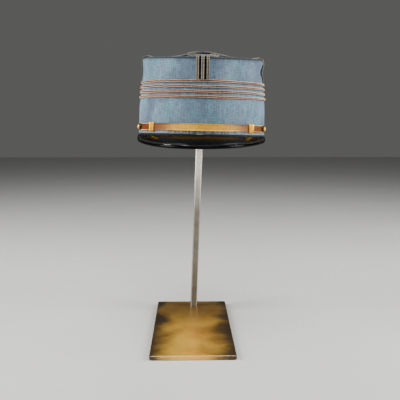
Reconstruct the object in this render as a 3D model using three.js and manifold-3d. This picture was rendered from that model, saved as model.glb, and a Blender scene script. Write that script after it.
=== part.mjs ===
// A stiff-sided officer's kepi in light blue cloth, with braid, a gold lace false chin strap and a
// glossy peak, on a plain steel display stand. Lengths are millimetres and angles degrees. +Z is up and
// the peak points along -Y. The origin is the centre of the underside of the stand's plate.

import * as THREE from "three";
import Module from "manifold-3d";
import { mergeVertices } from "three/addons/utils/BufferGeometryUtils.js";

const manifold = await Module();
manifold.setup();

// Stand
const plateWidth = 93;
const plateDepth = 208;
const plateThickness = 5;
const plateCornerRadius = 3;
const plateBevel = 0.6;
const postSide = 8.5;
const postChamfer = 1.3;
const postFromBackEdge = 20;
const postFromMiddle = 2.6; // to the right of the plate's middle line
const postLean = 2; // towards +X
const headSpread = 0.3; // the crown ring that the post's head reaches to
const headEdge = 3; // thickness of the head at its edge
const capRaise = 231; // from the plate's top to the bottom edge of the band
const capSlip = 2.5; // the cap's centre, to the right of the post at the band
const capTilt = 1.2; // the cap sits lower on its right
const capTurn = 1.4; // its front is turned to the left

// Cloth body
const capWidth = 163;
const capLength = 204;
const frontHeight = 88.6;
const backHeight = 105.6;
const clothThickness = 2;
const crownEdgeRadius = 5;
const sideDent = 4; // depth of the dent high on the right side
const dentAngle = 82;
const dentSpread = 14; // along the side, in degrees from the front
const topLift = 7; // the soft top, pushed up by the post's head

// Braid
const galonCount = 4;
const lowestGalonHeight = 42.6;
const galonPitch = 5.97;
const galonBackRise = 5.6; // how much higher the galons run at the back
const braidWidth = 3.4;
const braidHeight = 1.5;
const braidGroove = 0.6;
const uprightWidth = 4;
const uprightPitch = 6.3;
const sideSetBack = 7; // how far round to the back of the middle the side groups run, in degrees
const tapeThickness = 0.5;
const knotReach = 0.54; // of the top, from its centre to the tips of the knot's loops
const knotPitch = 3.9;

// False chin strap and its buttons
const strapWidth = 8.6;
const strapThickness = 1;
const strapHeight = 7.7; // of its middle line above the bottom edge of the band
const tabThickness = 0.9;
const keeperAngles = { left: 45.9, right: 45.6 };
const keeperLength = 8.6;
const keeperThickness = 0.9;
const keeperOverlap = 1.2; // how far a keeper passes each edge of the strap
const buttonAngle = 64.5;
const buttonDiameter = 8.8;
const buttonRim = 0.7;
const buttonDome = 3.3;
const domeDiameter = 6.6;
const shankDiameter = 3.6;

// Peak
const peakReach = 42; // in front of the band
const peakEndAngle = 71;
const peakEndMargin = 1.2; // how far the binding's middle line stands out past the band at each end
const peakDrop = 14.3; // of the binding's middle line at the front
const peakEndDrop = 3.2;
const peakDropPower = 0.6;
const peakThickness = 2.2;
const peakCrown = 1.8; // bulge of the peak between its two edges
const bindingWidth = 3.4;
const bindingHeight = 3.8;

// Clearances
const seamGap = 0.3; // between pieces that meet edge to edge
const layGap = 0.3; // between a piece and what it lies on
const knotGap = 0.65; // the knot bridges the creases of the top
const holeClearance = 0.4;

// How finely round shapes are cut
const capSideCount = 52;
const buttonSideCount = 16;
const strapStepCount = 26;
const peakStepCount = 30;

// Sections of the cloth wall, as shares of the cap's width and length. `up` runs from the bottom edge to
// the seam under the top galon in the band, and from that seam to the top edge in the crown's side.
const bandSections = [
  { up: 0, width: 1, length: 1 },
  { up: 0.55, width: 0.994, length: 0.992 },
  { up: 0.72, width: 0.98, length: 0.975 },
  { up: 1, width: 0.957, length: 0.955 },
];
const sideSections = [
  { up: 0, width: 0.957, length: 0.955 },
  { up: 0.36, width: 0.948, length: 0.943 },
  { up: 0.58, width: 0.946, length: 0.937 },
  { up: 1, width: 0.951, length: 0.93 },
];
// How deep the dent is at each height, as a share of sideDent.
const dentSections = [
  { up: 0, depth: 0 },
  { up: 0.36, depth: 0.25 },
  { up: 0.58, depth: 1 },
  { up: 1, depth: 0 },
];
// Rings of the top, from its centre to its edge, with the height of the cloth as a share of topLift.
const topRings = [
  { out: 0, lift: 1 },
  { out: 0.15, lift: 0.85 },
  { out: headSpread, lift: 0.5 },
  { out: 0.45, lift: 0.08 },
  { out: 0.62, lift: -0.2 },
  { out: 0.85, lift: -0.26 },
  { out: 1, lift: 0 },
];
// A closed braid, cut across: two ridges with a groove between them.
const braidRidge = 0.27; // of the width, from the middle to each ridge

const materials = {
  cloth: { color: 0x8298a6, roughness: 0.9, metalness: 0 },
  galon: { color: 0xa98f80, roughness: 0.6, metalness: 0.2 },
  upright: { color: 0x8f8c80, roughness: 0.7, metalness: 0.1 },
  tape: { color: 0x0d0d10, roughness: 0.9, metalness: 0 },
  lace: { color: 0xc58f48, roughness: 0.5, metalness: 0.5 },
  gilt: { color: 0xe9c777, roughness: 0.25, metalness: 1 },
  patent: { color: 0x0c0c0e, roughness: 0.12, metalness: 0 },
  steel: { color: 0xa6a298, roughness: 0.3, metalness: 1 },
};

const radians = THREE.MathUtils.degToRad;

// Tables

// Reads a column of a table, in straight lines between its rows.
function readTable(rows, key, at, column) {
  const last = rows.length - 1;
  const next = Math.min(last, Math.max(1, rows.findIndex((row) => row[key] >= at)));
  const upper = at > rows[last][key] ? last : next;
  const [low, high] = [rows[upper - 1], rows[upper]];
  return THREE.MathUtils.mapLinear(at, low[key], high[key], low[column], high[column]);
}

// Surfaces of the cap, in its own frame: the origin is the centre of the band's bottom edge, and an
// angle runs from the front round by the right.

// 0 at the front of the cap and 1 at the back.
const backShare = (angle) => (1 - Math.cos(radians(angle))) / 2;

const topHeight = (angle) => THREE.MathUtils.lerp(frontHeight, backHeight, backShare(angle));

const galonHeight = (number, angle) =>
  lowestGalonHeight +
  (number - 1) * galonPitch +
  galonBackRise * backShare(angle);

// The band and the side of the crown meet under the top galon.
const seamHeight = (angle) => galonHeight(galonCount, angle);

function dentAt(angle, up) {
  const away = (angle - dentAngle) / dentSpread;
  return sideDent * Math.exp(-away * away) * readTable(dentSections, "up", up, "depth");
}

// Half the width and length of the wall at a height, and how far a dent takes it in there.
function wallSize(angle, height) {
  const seam = seamHeight(angle);
  const inBand = height <= seam;
  const rows = inBand ? bandSections : sideSections;
  const wallTop = topHeight(angle) - crownEdgeRadius;
  const up = inBand ? height / seam : (height - seam) / (wallTop - seam);
  return {
    halfWidth: (capWidth / 2) * readTable(rows, "up", up, "width"),
    halfLength: (capLength / 2) * readTable(rows, "up", up, "length"),
    dent: inBand ? 0 : dentAt(angle, up),
  };
}

// The direction straight out of an oval, level, at an angle.
function outward(angle, halfWidth, halfLength) {
  const turn = radians(angle);
  return new THREE.Vector3(halfLength * Math.sin(turn), -halfWidth * Math.cos(turn), 0).normalize();
}

// A point of the wall's outer face, moved out by a distance, with the directions out of it and along it.
function wallFrame(angle, height, out = 0) {
  const { halfWidth, halfLength, dent } = wallSize(angle, height);
  const turn = radians(angle);
  const normal = outward(angle, halfWidth, halfLength);
  const origin = new THREE.Vector3(halfWidth * Math.sin(turn), -halfLength * Math.cos(turn), height);
  origin.addScaledVector(normal, out - dent);
  return { origin, out: normal, along: new THREE.Vector3(-normal.y, normal.x, 0) };
}

// The wall turns over into the top along a quarter circle; `turned` is 0 at the wall and 90 at the top.
function edgeFrame(angle, turned, out = 0) {
  const foot = wallFrame(angle, topHeight(angle) - crownEdgeRadius);
  const normal = foot.out.clone().multiplyScalar(Math.cos(radians(turned)));
  normal.z = Math.sin(radians(turned));
  const origin = foot.origin.clone().addScaledVector(foot.out, -crownEdgeRadius);
  origin.addScaledVector(normal, crownEdgeRadius + out);
  return { origin, out: normal, along: foot.along };
}

// The oval edge of the top, where the turned-over edge ends.
const topHalfWidth = -edgeFrame(270, 90).origin.x - seamGap;
const topHalfLength = -edgeFrame(0, 90).origin.y - seamGap;

// The height of the top's upper face over a point.
function topSurface(x, y) {
  const out = Math.hypot(x / topHalfWidth, y / topHalfLength);
  const slope = ((backHeight - frontHeight) / 2) * (y / topHalfLength);
  return (frontHeight + backHeight) / 2 + slope + topLift * readTable(topRings, "out", out, "lift");
}

function topPoint(angle, out, raise = 0) {
  const x = out * topHalfWidth * Math.sin(radians(angle));
  const y = -out * topHalfLength * Math.cos(radians(angle));
  return new THREE.Vector3(x, y, topSurface(x, y) + raise);
}

// Solids

// A closed body from its corners and triangles, with its faces turned out.
function closedBody(points, faces) {
  const sixVolumes = faces.reduce(
    (sum, [a, b, c]) => sum + points[a].dot(points[b].clone().cross(points[c])),
    0,
  );
  const facingOut = sixVolumes < 0 ? faces.map(([a, b, c]) => [a, c, b]) : faces;
  const body = new THREE.BufferGeometry().setFromPoints(points);
  body.setIndex(facingOut.flat());
  body.computeVertexNormals();
  return body;
}

// Skins a row of rings that have the same number of points. Joined, the last ring meets the first;
// otherwise each end is closed by the given triangles, or by a fan to the given tip.
function loft(rings, { joined = false, ends = null, tips = null } = {}) {
  const size = rings[0].length;
  const points = rings.flat();
  const faces = [];
  const spans = joined ? rings.length : rings.length - 1;
  for (let ring = 0; ring < spans; ring++) {
    const here = ring * size;
    const there = ((ring + 1) % rings.length) * size;
    for (let k = 0; k < size; k++) {
      const next = (k + 1) % size;
      faces.push([here + k, here + next, there + next], [here + k, there + next, there + k]);
    }
  }
  const lastRing = (rings.length - 1) * size;
  if (ends) {
    for (const [a, b, c] of ends) {
      faces.push([a, c, b], [lastRing + a, lastRing + b, lastRing + c]);
    }
  }
  if (tips) {
    const [firstTip, lastTip] = [points.length, points.length + 1];
    points.push(...tips);
    for (let k = 0; k < size; k++) {
      const next = (k + 1) % size;
      faces.push([firstTip, next, k], [lastTip, lastRing + k, lastRing + next]);
    }
  }
  return closedBody(points, faces);
}

// Carries a flat section along a row of frames: its x runs across each frame and its y out of it.
function sweep(section, frames, joined = false) {
  const rings = frames.map((frame) =>
    section.map((corner) =>
      frame.origin
        .clone()
        .addScaledVector(frame.across, corner.x * (frame.narrowed ?? 1))
        .addScaledVector(frame.out, corner.y),
    ),
  );
  const ends = joined ? null : triangulate(section);
  return loft(rings, { joined, ends });
}

// Triangles over a flat outline, all turned the way of the outline.
function triangulate(section) {
  const around = THREE.ShapeUtils.area(section) > 0 ? 1 : -1;
  return THREE.ShapeUtils.triangulateShape(section, []).map(([a, b, c]) => {
    const turn = THREE.ShapeUtils.area([section[a], section[b], section[c]]) * around;
    return turn > 0 ? [a, b, c] : [a, c, b];
  });
}

const boxSection = (width, from, to) => [
  new THREE.Vector2(-width / 2, from),
  new THREE.Vector2(width / 2, from),
  new THREE.Vector2(width / 2, to),
  new THREE.Vector2(-width / 2, to),
];

const braidSection = (width, seat) => [
  new THREE.Vector2(-width / 2, seat),
  new THREE.Vector2(width / 2, seat),
  new THREE.Vector2(width * braidRidge, seat + braidHeight),
  new THREE.Vector2(0, seat + braidHeight - braidGroove),
  new THREE.Vector2(-width * braidRidge, seat + braidHeight),
];

// Joining and cutting

function toManifold(body) {
  const bare = new THREE.BufferGeometry();
  bare.setAttribute("position", body.getAttribute("position"));
  bare.setIndex(body.index);
  const merged = mergeVertices(bare, 1e-4);
  return new manifold.Manifold(
    new manifold.Mesh({
      numProp: 3,
      vertProperties: merged.getAttribute("position").array,
      triVerts: new Uint32Array(merged.index.array),
    }),
  );
}

function fromManifold(solid) {
  const mesh = solid.getMesh();
  const body = new THREE.BufferGeometry();
  body.setAttribute("position", new THREE.BufferAttribute(mesh.vertProperties.slice(), 3));
  body.setIndex([...mesh.triVerts]);
  body.computeVertexNormals();
  return body;
}

const join = (bodies) =>
  fromManifold(bodies.map(toManifold).reduce((sum, solid) => sum.add(solid)));

const cut = (body, tools) =>
  fromManifold(tools.map(toManifold).reduce((left, tool) => left.subtract(tool), toManifold(body)));

// Evenly spaced values from one number to another, both included.
const steps = (from, to, spans) =>
  Array.from({ length: spans + 1 }, (_, i) => THREE.MathUtils.lerp(from, to, i / spans));

const capAngles = steps(0, 360, capSideCount).slice(0, -1);

// Stand

function makePlate() {
  const [x, y] = [plateWidth / 2 - plateBevel, plateDepth / 2 - plateBevel];
  const r = plateCornerRadius - plateBevel;
  const outline = new THREE.Shape();
  outline.moveTo(-x + r, -y);
  outline.lineTo(x - r, -y);
  outline.absarc(x - r, -y + r, r, -Math.PI / 2, 0);
  outline.lineTo(x, y - r);
  outline.absarc(x - r, y - r, r, 0, Math.PI / 2);
  outline.lineTo(-x + r, y);
  outline.absarc(-x + r, y - r, r, Math.PI / 2, Math.PI);
  outline.lineTo(-x, -y + r);
  outline.absarc(-x + r, -y + r, r, Math.PI, 1.5 * Math.PI);
  const plate = new THREE.ExtrudeGeometry(outline, {
    depth: plateThickness - 2 * plateBevel,
    bevelThickness: plateBevel,
    bevelSize: plateBevel,
    bevelSegments: 1,
    curveSegments: 4,
  });
  return plate.translate(0, 0, plateBevel);
}

const postY = plateDepth / 2 - postFromBackEdge;
const leanSlope = Math.tan(radians(postLean));
const capX = leanSlope * capRaise + capSlip;
const capZ = plateThickness + capRaise;
const capAttitude = new THREE.Euler(0, radians(capTilt), radians(-capTurn));

// The post's head lies under the middle of the crown's top, and is cut to its shape.
function makeHead() {
  const underCloth = -clothThickness - layGap;
  const rings = topRings.filter((ring) => ring.out > 0 && ring.out <= headSpread);
  const angles = capAngles.filter((_, i) => i % 2 === 0);
  const faceRings = rings.map((ring) => angles.map((angle) => topPoint(angle, ring.out, underCloth)));
  const lowest = Math.min(...faceRings.at(-1).map((point) => point.z)) - headEdge;
  const underside = faceRings.at(-1).map((point) => new THREE.Vector3(point.x, point.y, lowest));
  const tips = [topPoint(0, 0, underCloth), new THREE.Vector3(0, 0, lowest)];
  return { head: loft([...faceRings, underside], { tips }), underside: lowest };
}

// A square bar with flat corners, from the plate's top up into the head.
function makePost() {
  const { head, underside } = makeHead();
  head.applyMatrix4(new THREE.Matrix4().makeRotationFromEuler(capAttitude));
  head.translate(capX, 0, capZ);
  const half = postSide / 2;
  const flat = half - postChamfer;
  const corners = [
    [flat, -half],
    [half, -flat],
    [half, flat],
    [flat, half],
    [-flat, half],
    [-half, flat],
    [-half, -flat],
    [-flat, -half],
  ];
  const ringAt = (height) =>
    corners.map(([x, y]) => new THREE.Vector3(x + leanSlope * (height - plateThickness), y, height));
  const bar = loft([ringAt(plateThickness), ringAt(capZ + underside + headEdge / 2)], {
    ends: triangulate(corners.map(([x, y]) => new THREE.Vector2(x, y))),
  });
  return join([bar, head]);
}

// Cloth

const inside = -clothThickness;

// The band's wall, from its bottom edge to the seam.
function makeBand() {
  return loft(
    capAngles.map((angle) => {
      const heights = bandSections.map(({ up }) => up * (seamHeight(angle) - seamGap / 2));
      const outer = heights.map((height) => wallFrame(angle, height).origin);
      const inner = heights.map((height) => wallFrame(angle, height, inside).origin);
      return [...outer, ...inner.reverse()];
    }),
    { joined: true },
  );
}

// The heights of the crown's side, from the seam to where its edge starts to turn over.
function sideHeights(angle) {
  const seam = seamHeight(angle);
  const wallTop = topHeight(angle) - crownEdgeRadius;
  return sideSections.map(({ up }, i) => seam + up * (wallTop - seam) + (i === 0 ? seamGap / 2 : 0));
}

const edgeTurns = [30, 60, 90];

// The crown's side, from the seam up, with its edge turned over towards the top.
function makeCrownSide() {
  return loft(
    capAngles.map((angle) => {
      const outer = [
        ...sideHeights(angle).map((height) => wallFrame(angle, height).origin),
        ...edgeTurns.map((turned) => edgeFrame(angle, turned).origin),
      ];
      const inner = [
        ...sideHeights(angle).map((height) => wallFrame(angle, height, inside).origin),
        ...edgeTurns.map((turned) => edgeFrame(angle, turned, inside).origin),
      ];
      return [...outer, ...inner.reverse()];
    }),
    { joined: true },
  );
}

// The oval top, raised in a soft tent over the post's head.
function makeCrownTop() {
  const outs = topRings.map((ring) => ring.out).filter((out) => out > 0);
  const upper = outs.map((out) => capAngles.map((angle) => topPoint(angle, out)));
  const lower = outs.map((out) => capAngles.map((angle) => topPoint(angle, out, inside)));
  return loft([...upper, ...lower.reverse()], { tips: [topPoint(0, 0), topPoint(0, 0, inside)] });
}

// Braid

const upDirection = new THREE.Vector3(0, 0, 1);

// One of the level braids round the cap, counted from the lowest.
function makeGalon(number) {
  const frames = capAngles.map((angle) => {
    const { origin, out } = wallFrame(angle, galonHeight(number, angle));
    return { origin, out, across: upDirection };
  });
  return sweep(braidSection(braidWidth, layGap), frames, true);
}

// The loops of the knot come this near to the edge of the top, as a share of the way to it.
const knotEdge = (halfSize) => knotReach + (1.5 * knotPitch + layGap) / halfSize;

// How much the top rises for each millimetre towards the back.
const topSlope = (backHeight - frontHeight) / (2 * topHalfLength);

// The way of an upright braid or tape: up the side, over the edge and in along the top to the knot.
// `middle` is the angle of its group on the wall, `towards` the side of the knot that it runs in to, and
// `aside` its distance from the group's middle line.
function uprightFrames({ middle, towards }, aside) {
  const lengthways = towards % 180 === 0;
  const sideways = lengthways ? capWidth / 2 : capLength / 2;
  const angle = middle + THREE.MathUtils.radToDeg(Math.asin(aside / sideways));
  const foot = seamHeight(angle) + braidWidth / 2 + seamGap;
  const frames = [
    wallFrame(angle, foot),
    ...sideHeights(angle).slice(1).map((height) => wallFrame(angle, height)),
    ...edgeTurns.map((turned) => edgeFrame(angle, turned)),
  ];
  const start = frames.at(-1).origin;
  const halfSize = lengthways ? topHalfLength : topHalfWidth;
  const inwards = new THREE.Vector3(-Math.sin(radians(towards)), Math.cos(radians(towards)), 0);
  const along = new THREE.Vector3(inwards.y, -inwards.x, 0);
  const fromMiddle = start.clone().sub(edgeFrame(middle, 90).origin).dot(along);
  const end = along.clone().multiplyScalar(fromMiddle);
  end.addScaledVector(inwards, -halfSize * knotEdge(halfSize));
  for (const way of [0.5, 1]) {
    const origin = start.clone().lerp(end, way);
    origin.z = topSurface(origin.x, origin.y);
    frames.push({ origin, out: upDirection, along });
  }
  return frames.map((frame, i) => {
    const across = frame.along.clone();
    if (i > 0) across.z = topSlope * across.y;
    return { ...frame, across };
  });
}

const uprightSection = braidSection(uprightWidth, layGap + tapeThickness + layGap);

// The end of a strip that is two faces wide and one deep.
const stripEnd = [
  [0, 1, 4],
  [0, 4, 5],
  [1, 2, 3],
  [1, 3, 4],
];

// The flat tape under a group of upright braids, which follows the cloth at its edges and middle.
function makeTape(group) {
  const lines = [-uprightPitch, 0, uprightPitch].map((aside) => uprightFrames(group, aside));
  const rings = lines[0].map((_, i) => {
    const under = lines.map((line) => line[i].origin.clone().addScaledVector(line[i].out, layGap));
    const over = lines.map((line) =>
      line[i].origin.clone().addScaledVector(line[i].out, layGap + tapeThickness),
    );
    return [...under, ...over.reverse()];
  });
  return loft(rings, { ends: stripEnd });
}

// The knot on the top: a four-looped curve, of the sizes of the top, run by three braids side by side.
const knotFirst = 0.42; // share of the reach in the slow turn
const knotThird = 0.58; // share of the reach in the turn that runs three times as fast the other way
const knotSpans = 10; // straight pieces in the way from the tip of one loop to the next
const knotShift = 0.3; // of a straight piece, so that braids that cross don't meet corner to corner
const knotWeave = 0.8; // how much higher the braids lie where they run over than where they run under
const knotGroove = 0.5; // between two braids
const knotSwing = 3; // how sharply they change from over to under
const knotBraidCrown = 0.3; // how far a braid's top draws in from each of its edges
const knotWidth = 2 * knotPitch + braidWidth;

function knotFrame(turn) {
  const [wide, long] = [knotReach * topHalfWidth, knotReach * topHalfLength];
  const x = wide * (knotFirst * Math.sin(turn) - knotThird * Math.sin(3 * turn));
  const y = -long * (knotFirst * Math.cos(turn) + knotThird * Math.cos(3 * turn));
  const dx = wide * (knotFirst * Math.cos(turn) - 3 * knotThird * Math.cos(3 * turn));
  const dy = long * (knotFirst * Math.sin(turn) + 3 * knotThird * Math.sin(3 * turn));
  const sideways = new THREE.Vector3(-dy, dx, 0).normalize();
  const [left, origin, right] = [-knotWidth / 2, 0, knotWidth / 2].map((aside) => {
    const point = new THREE.Vector3(x, y, 0).addScaledVector(sideways, aside);
    return point.setZ(topSurface(point.x, point.y));
  });
  const over = THREE.MathUtils.clamp(knotSwing * Math.sin(4 * turn), -1, 1);
  origin.z = Math.max(origin.z, (left.z + right.z) / 2) + (knotWeave * (1 + over)) / 2;
  return { origin, across: right.sub(left).normalize(), out: upDirection };
}

// Three braids side by side, as one section.
function knotSection() {
  const top = knotGap + braidHeight;
  const half = braidWidth / 2 - knotBraidCrown;
  const ridges = [1, 0, -1].flatMap((number) => {
    const middle = number * knotPitch;
    const ridge = [new THREE.Vector2(middle + half, top), new THREE.Vector2(middle - half, top)];
    const groove = new THREE.Vector2(middle - knotPitch / 2, top - knotGroove);
    return number < 0 ? ridge : [...ridge, groove];
  });
  const foot = [-1, 1].map((side) => new THREE.Vector2((side * knotWidth) / 2, knotGap));
  return [...foot, ...ridges];
}

// Each run goes from one tip to the next, and shares its last straight piece with the run after it.
function makeKnot() {
  const stations = 4 * knotSpans;
  const stationTurn = (station) =>
    radians((((station + stations) % stations) + knotShift) * (360 / stations));
  const runs = [0, 1, 2, 3].map((quarter) => {
    const first = quarter * knotSpans - 1;
    const frames = Array.from({ length: knotSpans + 2 }, (_, i) => knotFrame(stationTurn(first + i)));
    return sweep(knotSection(), frames);
  });
  return join(runs);
}

// Chin strap

const strapOuter = layGap + strapThickness;
const tabOuter = strapOuter + layGap + tabThickness;

// How far the wall runs for each degree at an angle.
function wallSpeed(angle) {
  const { halfWidth, halfLength } = wallSize(angle, strapHeight);
  const turn = radians(angle);
  return radians(Math.hypot(halfWidth * Math.cos(turn), halfLength * Math.sin(turn)));
}

function strapFrame(angle, narrowed = 1) {
  const { origin, out } = wallFrame(angle, strapHeight);
  return { origin, out, across: upDirection, narrowed };
}

// Frames that close a strap in a half circle round its button, on the side of the given sign.
function roundEnd(side) {
  const radius = strapWidth / 2;
  return [0, 30, 55, 75].map((turned) => {
    const beyond = radius * Math.sin(radians(turned));
    return strapFrame(side * (buttonAngle + beyond / wallSpeed(buttonAngle)), Math.cos(radians(turned)));
  });
}

// The hole for a button's shank, through the strap and the tab on it.
function shankHole(side) {
  const hole = new THREE.CylinderGeometry(
    shankDiameter / 2 + holeClearance,
    shankDiameter / 2 + holeClearance,
    4 * tabOuter,
    buttonSideCount,
  );
  // Half a side round, so that no corner of the hole falls on a bend of the strap.
  hole.rotateY(Math.PI / buttonSideCount);
  return placeOnWall(hole, side);
}

// Turns a shape made along +Y to point out of the wall at a button.
function placeOnWall(shape, side) {
  const { origin, out } = strapFrame(side * buttonAngle);
  shape.applyQuaternion(new THREE.Quaternion().setFromUnitVectors(new THREE.Vector3(0, 1, 0), out));
  return shape.translate(origin.x, origin.y, origin.z);
}

const strapAngles = steps(-buttonAngle, buttonAngle, strapStepCount).slice(1, -1);

function makeStrap() {
  const frames = [
    ...roundEnd(-1).reverse(),
    ...strapAngles.map((angle) => strapFrame(angle)),
    ...roundEnd(1),
  ];
  const strap = sweep(boxSection(strapWidth, layGap, strapOuter), frames);
  return cut(strap, [shankHole(-1), shankHole(1)]);
}

// The strap's end, folded back over it from the button and tucked under the keeper.
function makeTab(side, keeperAngle) {
  const start = keeperAngle + (keeperLength / 2 + seamGap) / wallSpeed(keeperAngle);
  const frames = [
    ...steps(start, buttonAngle, 5).slice(0, -1).map((angle) => strapFrame(side * angle)),
    ...roundEnd(side),
  ];
  const tab = sweep(boxSection(strapWidth, strapOuter + layGap, tabOuter), frames);
  return cut(tab, [shankHole(side)]);
}

// A slide that bridges the strap, with a leg down to the cloth past each of its edges.
function makeKeeper(side, keeperAngle) {
  const legIn = strapWidth / 2 + layGap;
  const legOut = legIn + keeperOverlap;
  const under = strapOuter + layGap;
  const top = under + keeperThickness;
  const section = [
    new THREE.Vector2(-legOut, layGap),
    new THREE.Vector2(-legIn, layGap),
    new THREE.Vector2(-legIn, under),
    new THREE.Vector2(legIn, under),
    new THREE.Vector2(legIn, layGap),
    new THREE.Vector2(legOut, layGap),
    new THREE.Vector2(legOut, top),
    new THREE.Vector2(-legOut, top),
  ];
  const half = keeperLength / 2 / wallSpeed(keeperAngle);
  const angles = steps(keeperAngle - half, keeperAngle + half, 3);
  const frames = angles.map((angle) => strapFrame(side * angle));
  return sweep(section, frames);
}

// A domed button on a shank that ends at the cloth.
function makeButton(side) {
  const [radius, dome, shank] = [buttonDiameter / 2, domeDiameter / 2, shankDiameter / 2];
  const back = tabOuter + layGap;
  const profile = [
    new THREE.Vector2(0, layGap),
    new THREE.Vector2(shank, layGap),
    new THREE.Vector2(shank, back),
    new THREE.Vector2(radius, back),
    new THREE.Vector2(radius, back + buttonRim),
    ...[0, 30, 60].map(
      (turned) =>
        new THREE.Vector2(
          dome * Math.cos(radians(turned)),
          back + buttonRim + buttonDome * Math.sin(radians(turned)),
        ),
    ),
    new THREE.Vector2(0, back + buttonRim + buttonDome),
  ];
  return placeOnWall(new THREE.LatheGeometry(profile, buttonSideCount), side);
}

// Peak

// The middle line of the binding, in the plane of the cap's plan and in height.
// `turn` is 0 at the front and 90 at the right-hand end.
const peakEnd = wallFrame(peakEndAngle, 0).origin;

function peakEdge(turn) {
  const share = Math.cos(radians(turn));
  const halfSpan = peakEnd.x + peakEndMargin;
  const forward = capLength / 2 + peakReach + peakEnd.y;
  const x = halfSpan * Math.sin(radians(turn));
  const sag = Math.pow(Math.max(share, 0), peakDropPower);
  // The ends follow the band, but the front edge hangs level although the cap is tilted.
  const levelled = x * Math.tan(radians(capTilt)) * sag;
  return new THREE.Vector3(
    x,
    peakEnd.y - forward * share,
    levelled - THREE.MathUtils.lerp(peakEndDrop, peakDrop, sag),
  );
}

// Where the peak starts, under the middle of the band's wall.
function peakRoot(turn) {
  const angle = (turn * peakEndAngle) / 90;
  const root = wallFrame(angle, 0, inside / 2).origin;
  root.z = -seamGap - peakThickness / 2;
  return root;
}

const peakTurns = steps(-90, 90, peakStepCount);

// The directions out along the peak and up from it, at its edge.
function peakFrame(turn) {
  const edge = peakEdge(turn);
  const nearby = 0.5;
  const before = peakEdge(Math.max(turn - nearby, -90));
  const after = peakEdge(Math.min(turn + nearby, 90));
  const along = after.sub(before).normalize();
  const inwards = peakRoot(turn).sub(edge);
  const up = new THREE.Vector3().crossVectors(inwards, along).normalize();
  const out = new THREE.Vector3().crossVectors(along, up).multiplyScalar(-1).normalize();
  return { edge, up: up.z < 0 ? up.negate() : up, out: out.dot(inwards) > 0 ? out.negate() : out };
}

// The stiff leaf of the peak, bulging a little between the band and the binding.
function makePeak() {
  const rings = peakTurns.map((turn) => {
    const root = peakRoot(turn);
    const { edge, up, out } = peakFrame(turn);
    const rim = edge.clone().addScaledVector(out, -bindingWidth / 2 - seamGap);
    const middle = root.clone().lerp(rim, 0.5).addScaledVector(up, peakCrown * Math.cos(radians(turn)));
    const half = peakThickness / 2;
    const face = (raise) => [
      root.clone().setZ(root.z + raise),
      middle.clone().addScaledVector(up, raise),
      rim.clone().addScaledVector(up, raise),
    ];
    return [...face(half), ...face(-half).reverse()];
  });
  return loft(rings, { ends: stripEnd });
}

// The rolled edge of the peak, an oval in section.
function makeBinding() {
  const section = steps(0, 360, 8)
    .slice(0, -1)
    .map(
      (turned) =>
        new THREE.Vector2(
          (bindingHeight / 2) * Math.cos(radians(turned)),
          (bindingWidth / 2) * Math.sin(radians(turned)),
        ),
    );
  const frames = peakTurns.map((turn) => {
    const { edge, up, out } = peakFrame(turn);
    return { origin: edge, across: up, out };
  });
  return sweep(section, frames);
}

// The whole, with each piece a mesh of its own

function piece(name, finish, body) {
  const mesh = new THREE.Mesh(body, new THREE.MeshStandardMaterial(materials[finish]));
  mesh.name = name;
  return mesh;
}

const cap = new THREE.Group();
cap.add(
  piece("band", "cloth", makeBand()),
  piece("crown_side", "cloth", makeCrownSide()),
  piece("crown_top", "cloth", makeCrownTop()),
);
for (let number = 1; number <= galonCount; number++) {
  cap.add(piece(`galon_${number}`, "galon", makeGalon(number)));
}
const uprightGroups = {
  front: { middle: 0, towards: 0 },
  right: { middle: 90 + sideSetBack, towards: 90 },
  back: { middle: 180, towards: 180 },
  left: { middle: 270 - sideSetBack, towards: 270 },
};
for (const [group, places] of Object.entries(uprightGroups)) {
  cap.add(piece(`tape_${group}`, "tape", makeTape(places)));
  [-uprightPitch, 0, uprightPitch].forEach((aside, i) => {
    const upright = sweep(uprightSection, uprightFrames(places, aside));
    cap.add(piece(`upright_${group}_${i + 1}`, "upright", upright));
  });
}
cap.add(piece("crown_knot", "upright", makeKnot()));
cap.add(piece("chin_strap", "lace", makeStrap()));
for (const [side, sign] of Object.entries({ left: -1, right: 1 })) {
  cap.add(piece(`strap_tab_${side}`, "lace", makeTab(sign, keeperAngles[side])));
  cap.add(piece(`strap_keeper_${side}`, "gilt", makeKeeper(sign, keeperAngles[side])));
  cap.add(piece(`button_${side}`, "gilt", makeButton(sign)));
}
cap.add(piece("peak", "patent", makePeak()), piece("peak_binding", "patent", makeBinding()));
cap.rotation.copy(capAttitude);
cap.position.set(postFromMiddle + capX, postY, capZ);

const post = piece("stand_post", "steel", makePost());
post.position.set(postFromMiddle, postY, 0);

const kepiOnStand = new THREE.Group();
kepiOnStand.add(piece("stand_plate", "steel", makePlate()), post, cap);

export default kepiOnStand;
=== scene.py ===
import math

import bmesh
import bpy
import numpy as np
from mathutils import Matrix, Vector


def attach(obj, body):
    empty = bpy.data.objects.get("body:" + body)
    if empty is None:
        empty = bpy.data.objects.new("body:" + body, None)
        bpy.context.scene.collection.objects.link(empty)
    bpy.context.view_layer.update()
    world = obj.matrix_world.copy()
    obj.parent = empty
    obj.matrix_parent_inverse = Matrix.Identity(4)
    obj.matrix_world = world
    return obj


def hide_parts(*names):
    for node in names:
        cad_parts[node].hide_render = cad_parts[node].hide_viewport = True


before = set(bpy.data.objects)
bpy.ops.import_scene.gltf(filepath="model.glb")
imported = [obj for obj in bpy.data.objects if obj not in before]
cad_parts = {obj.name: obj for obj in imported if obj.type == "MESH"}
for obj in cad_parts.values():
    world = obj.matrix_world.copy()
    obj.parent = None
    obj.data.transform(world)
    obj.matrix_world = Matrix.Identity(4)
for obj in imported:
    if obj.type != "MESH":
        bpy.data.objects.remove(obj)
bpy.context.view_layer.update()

MM = 0.001

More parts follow.
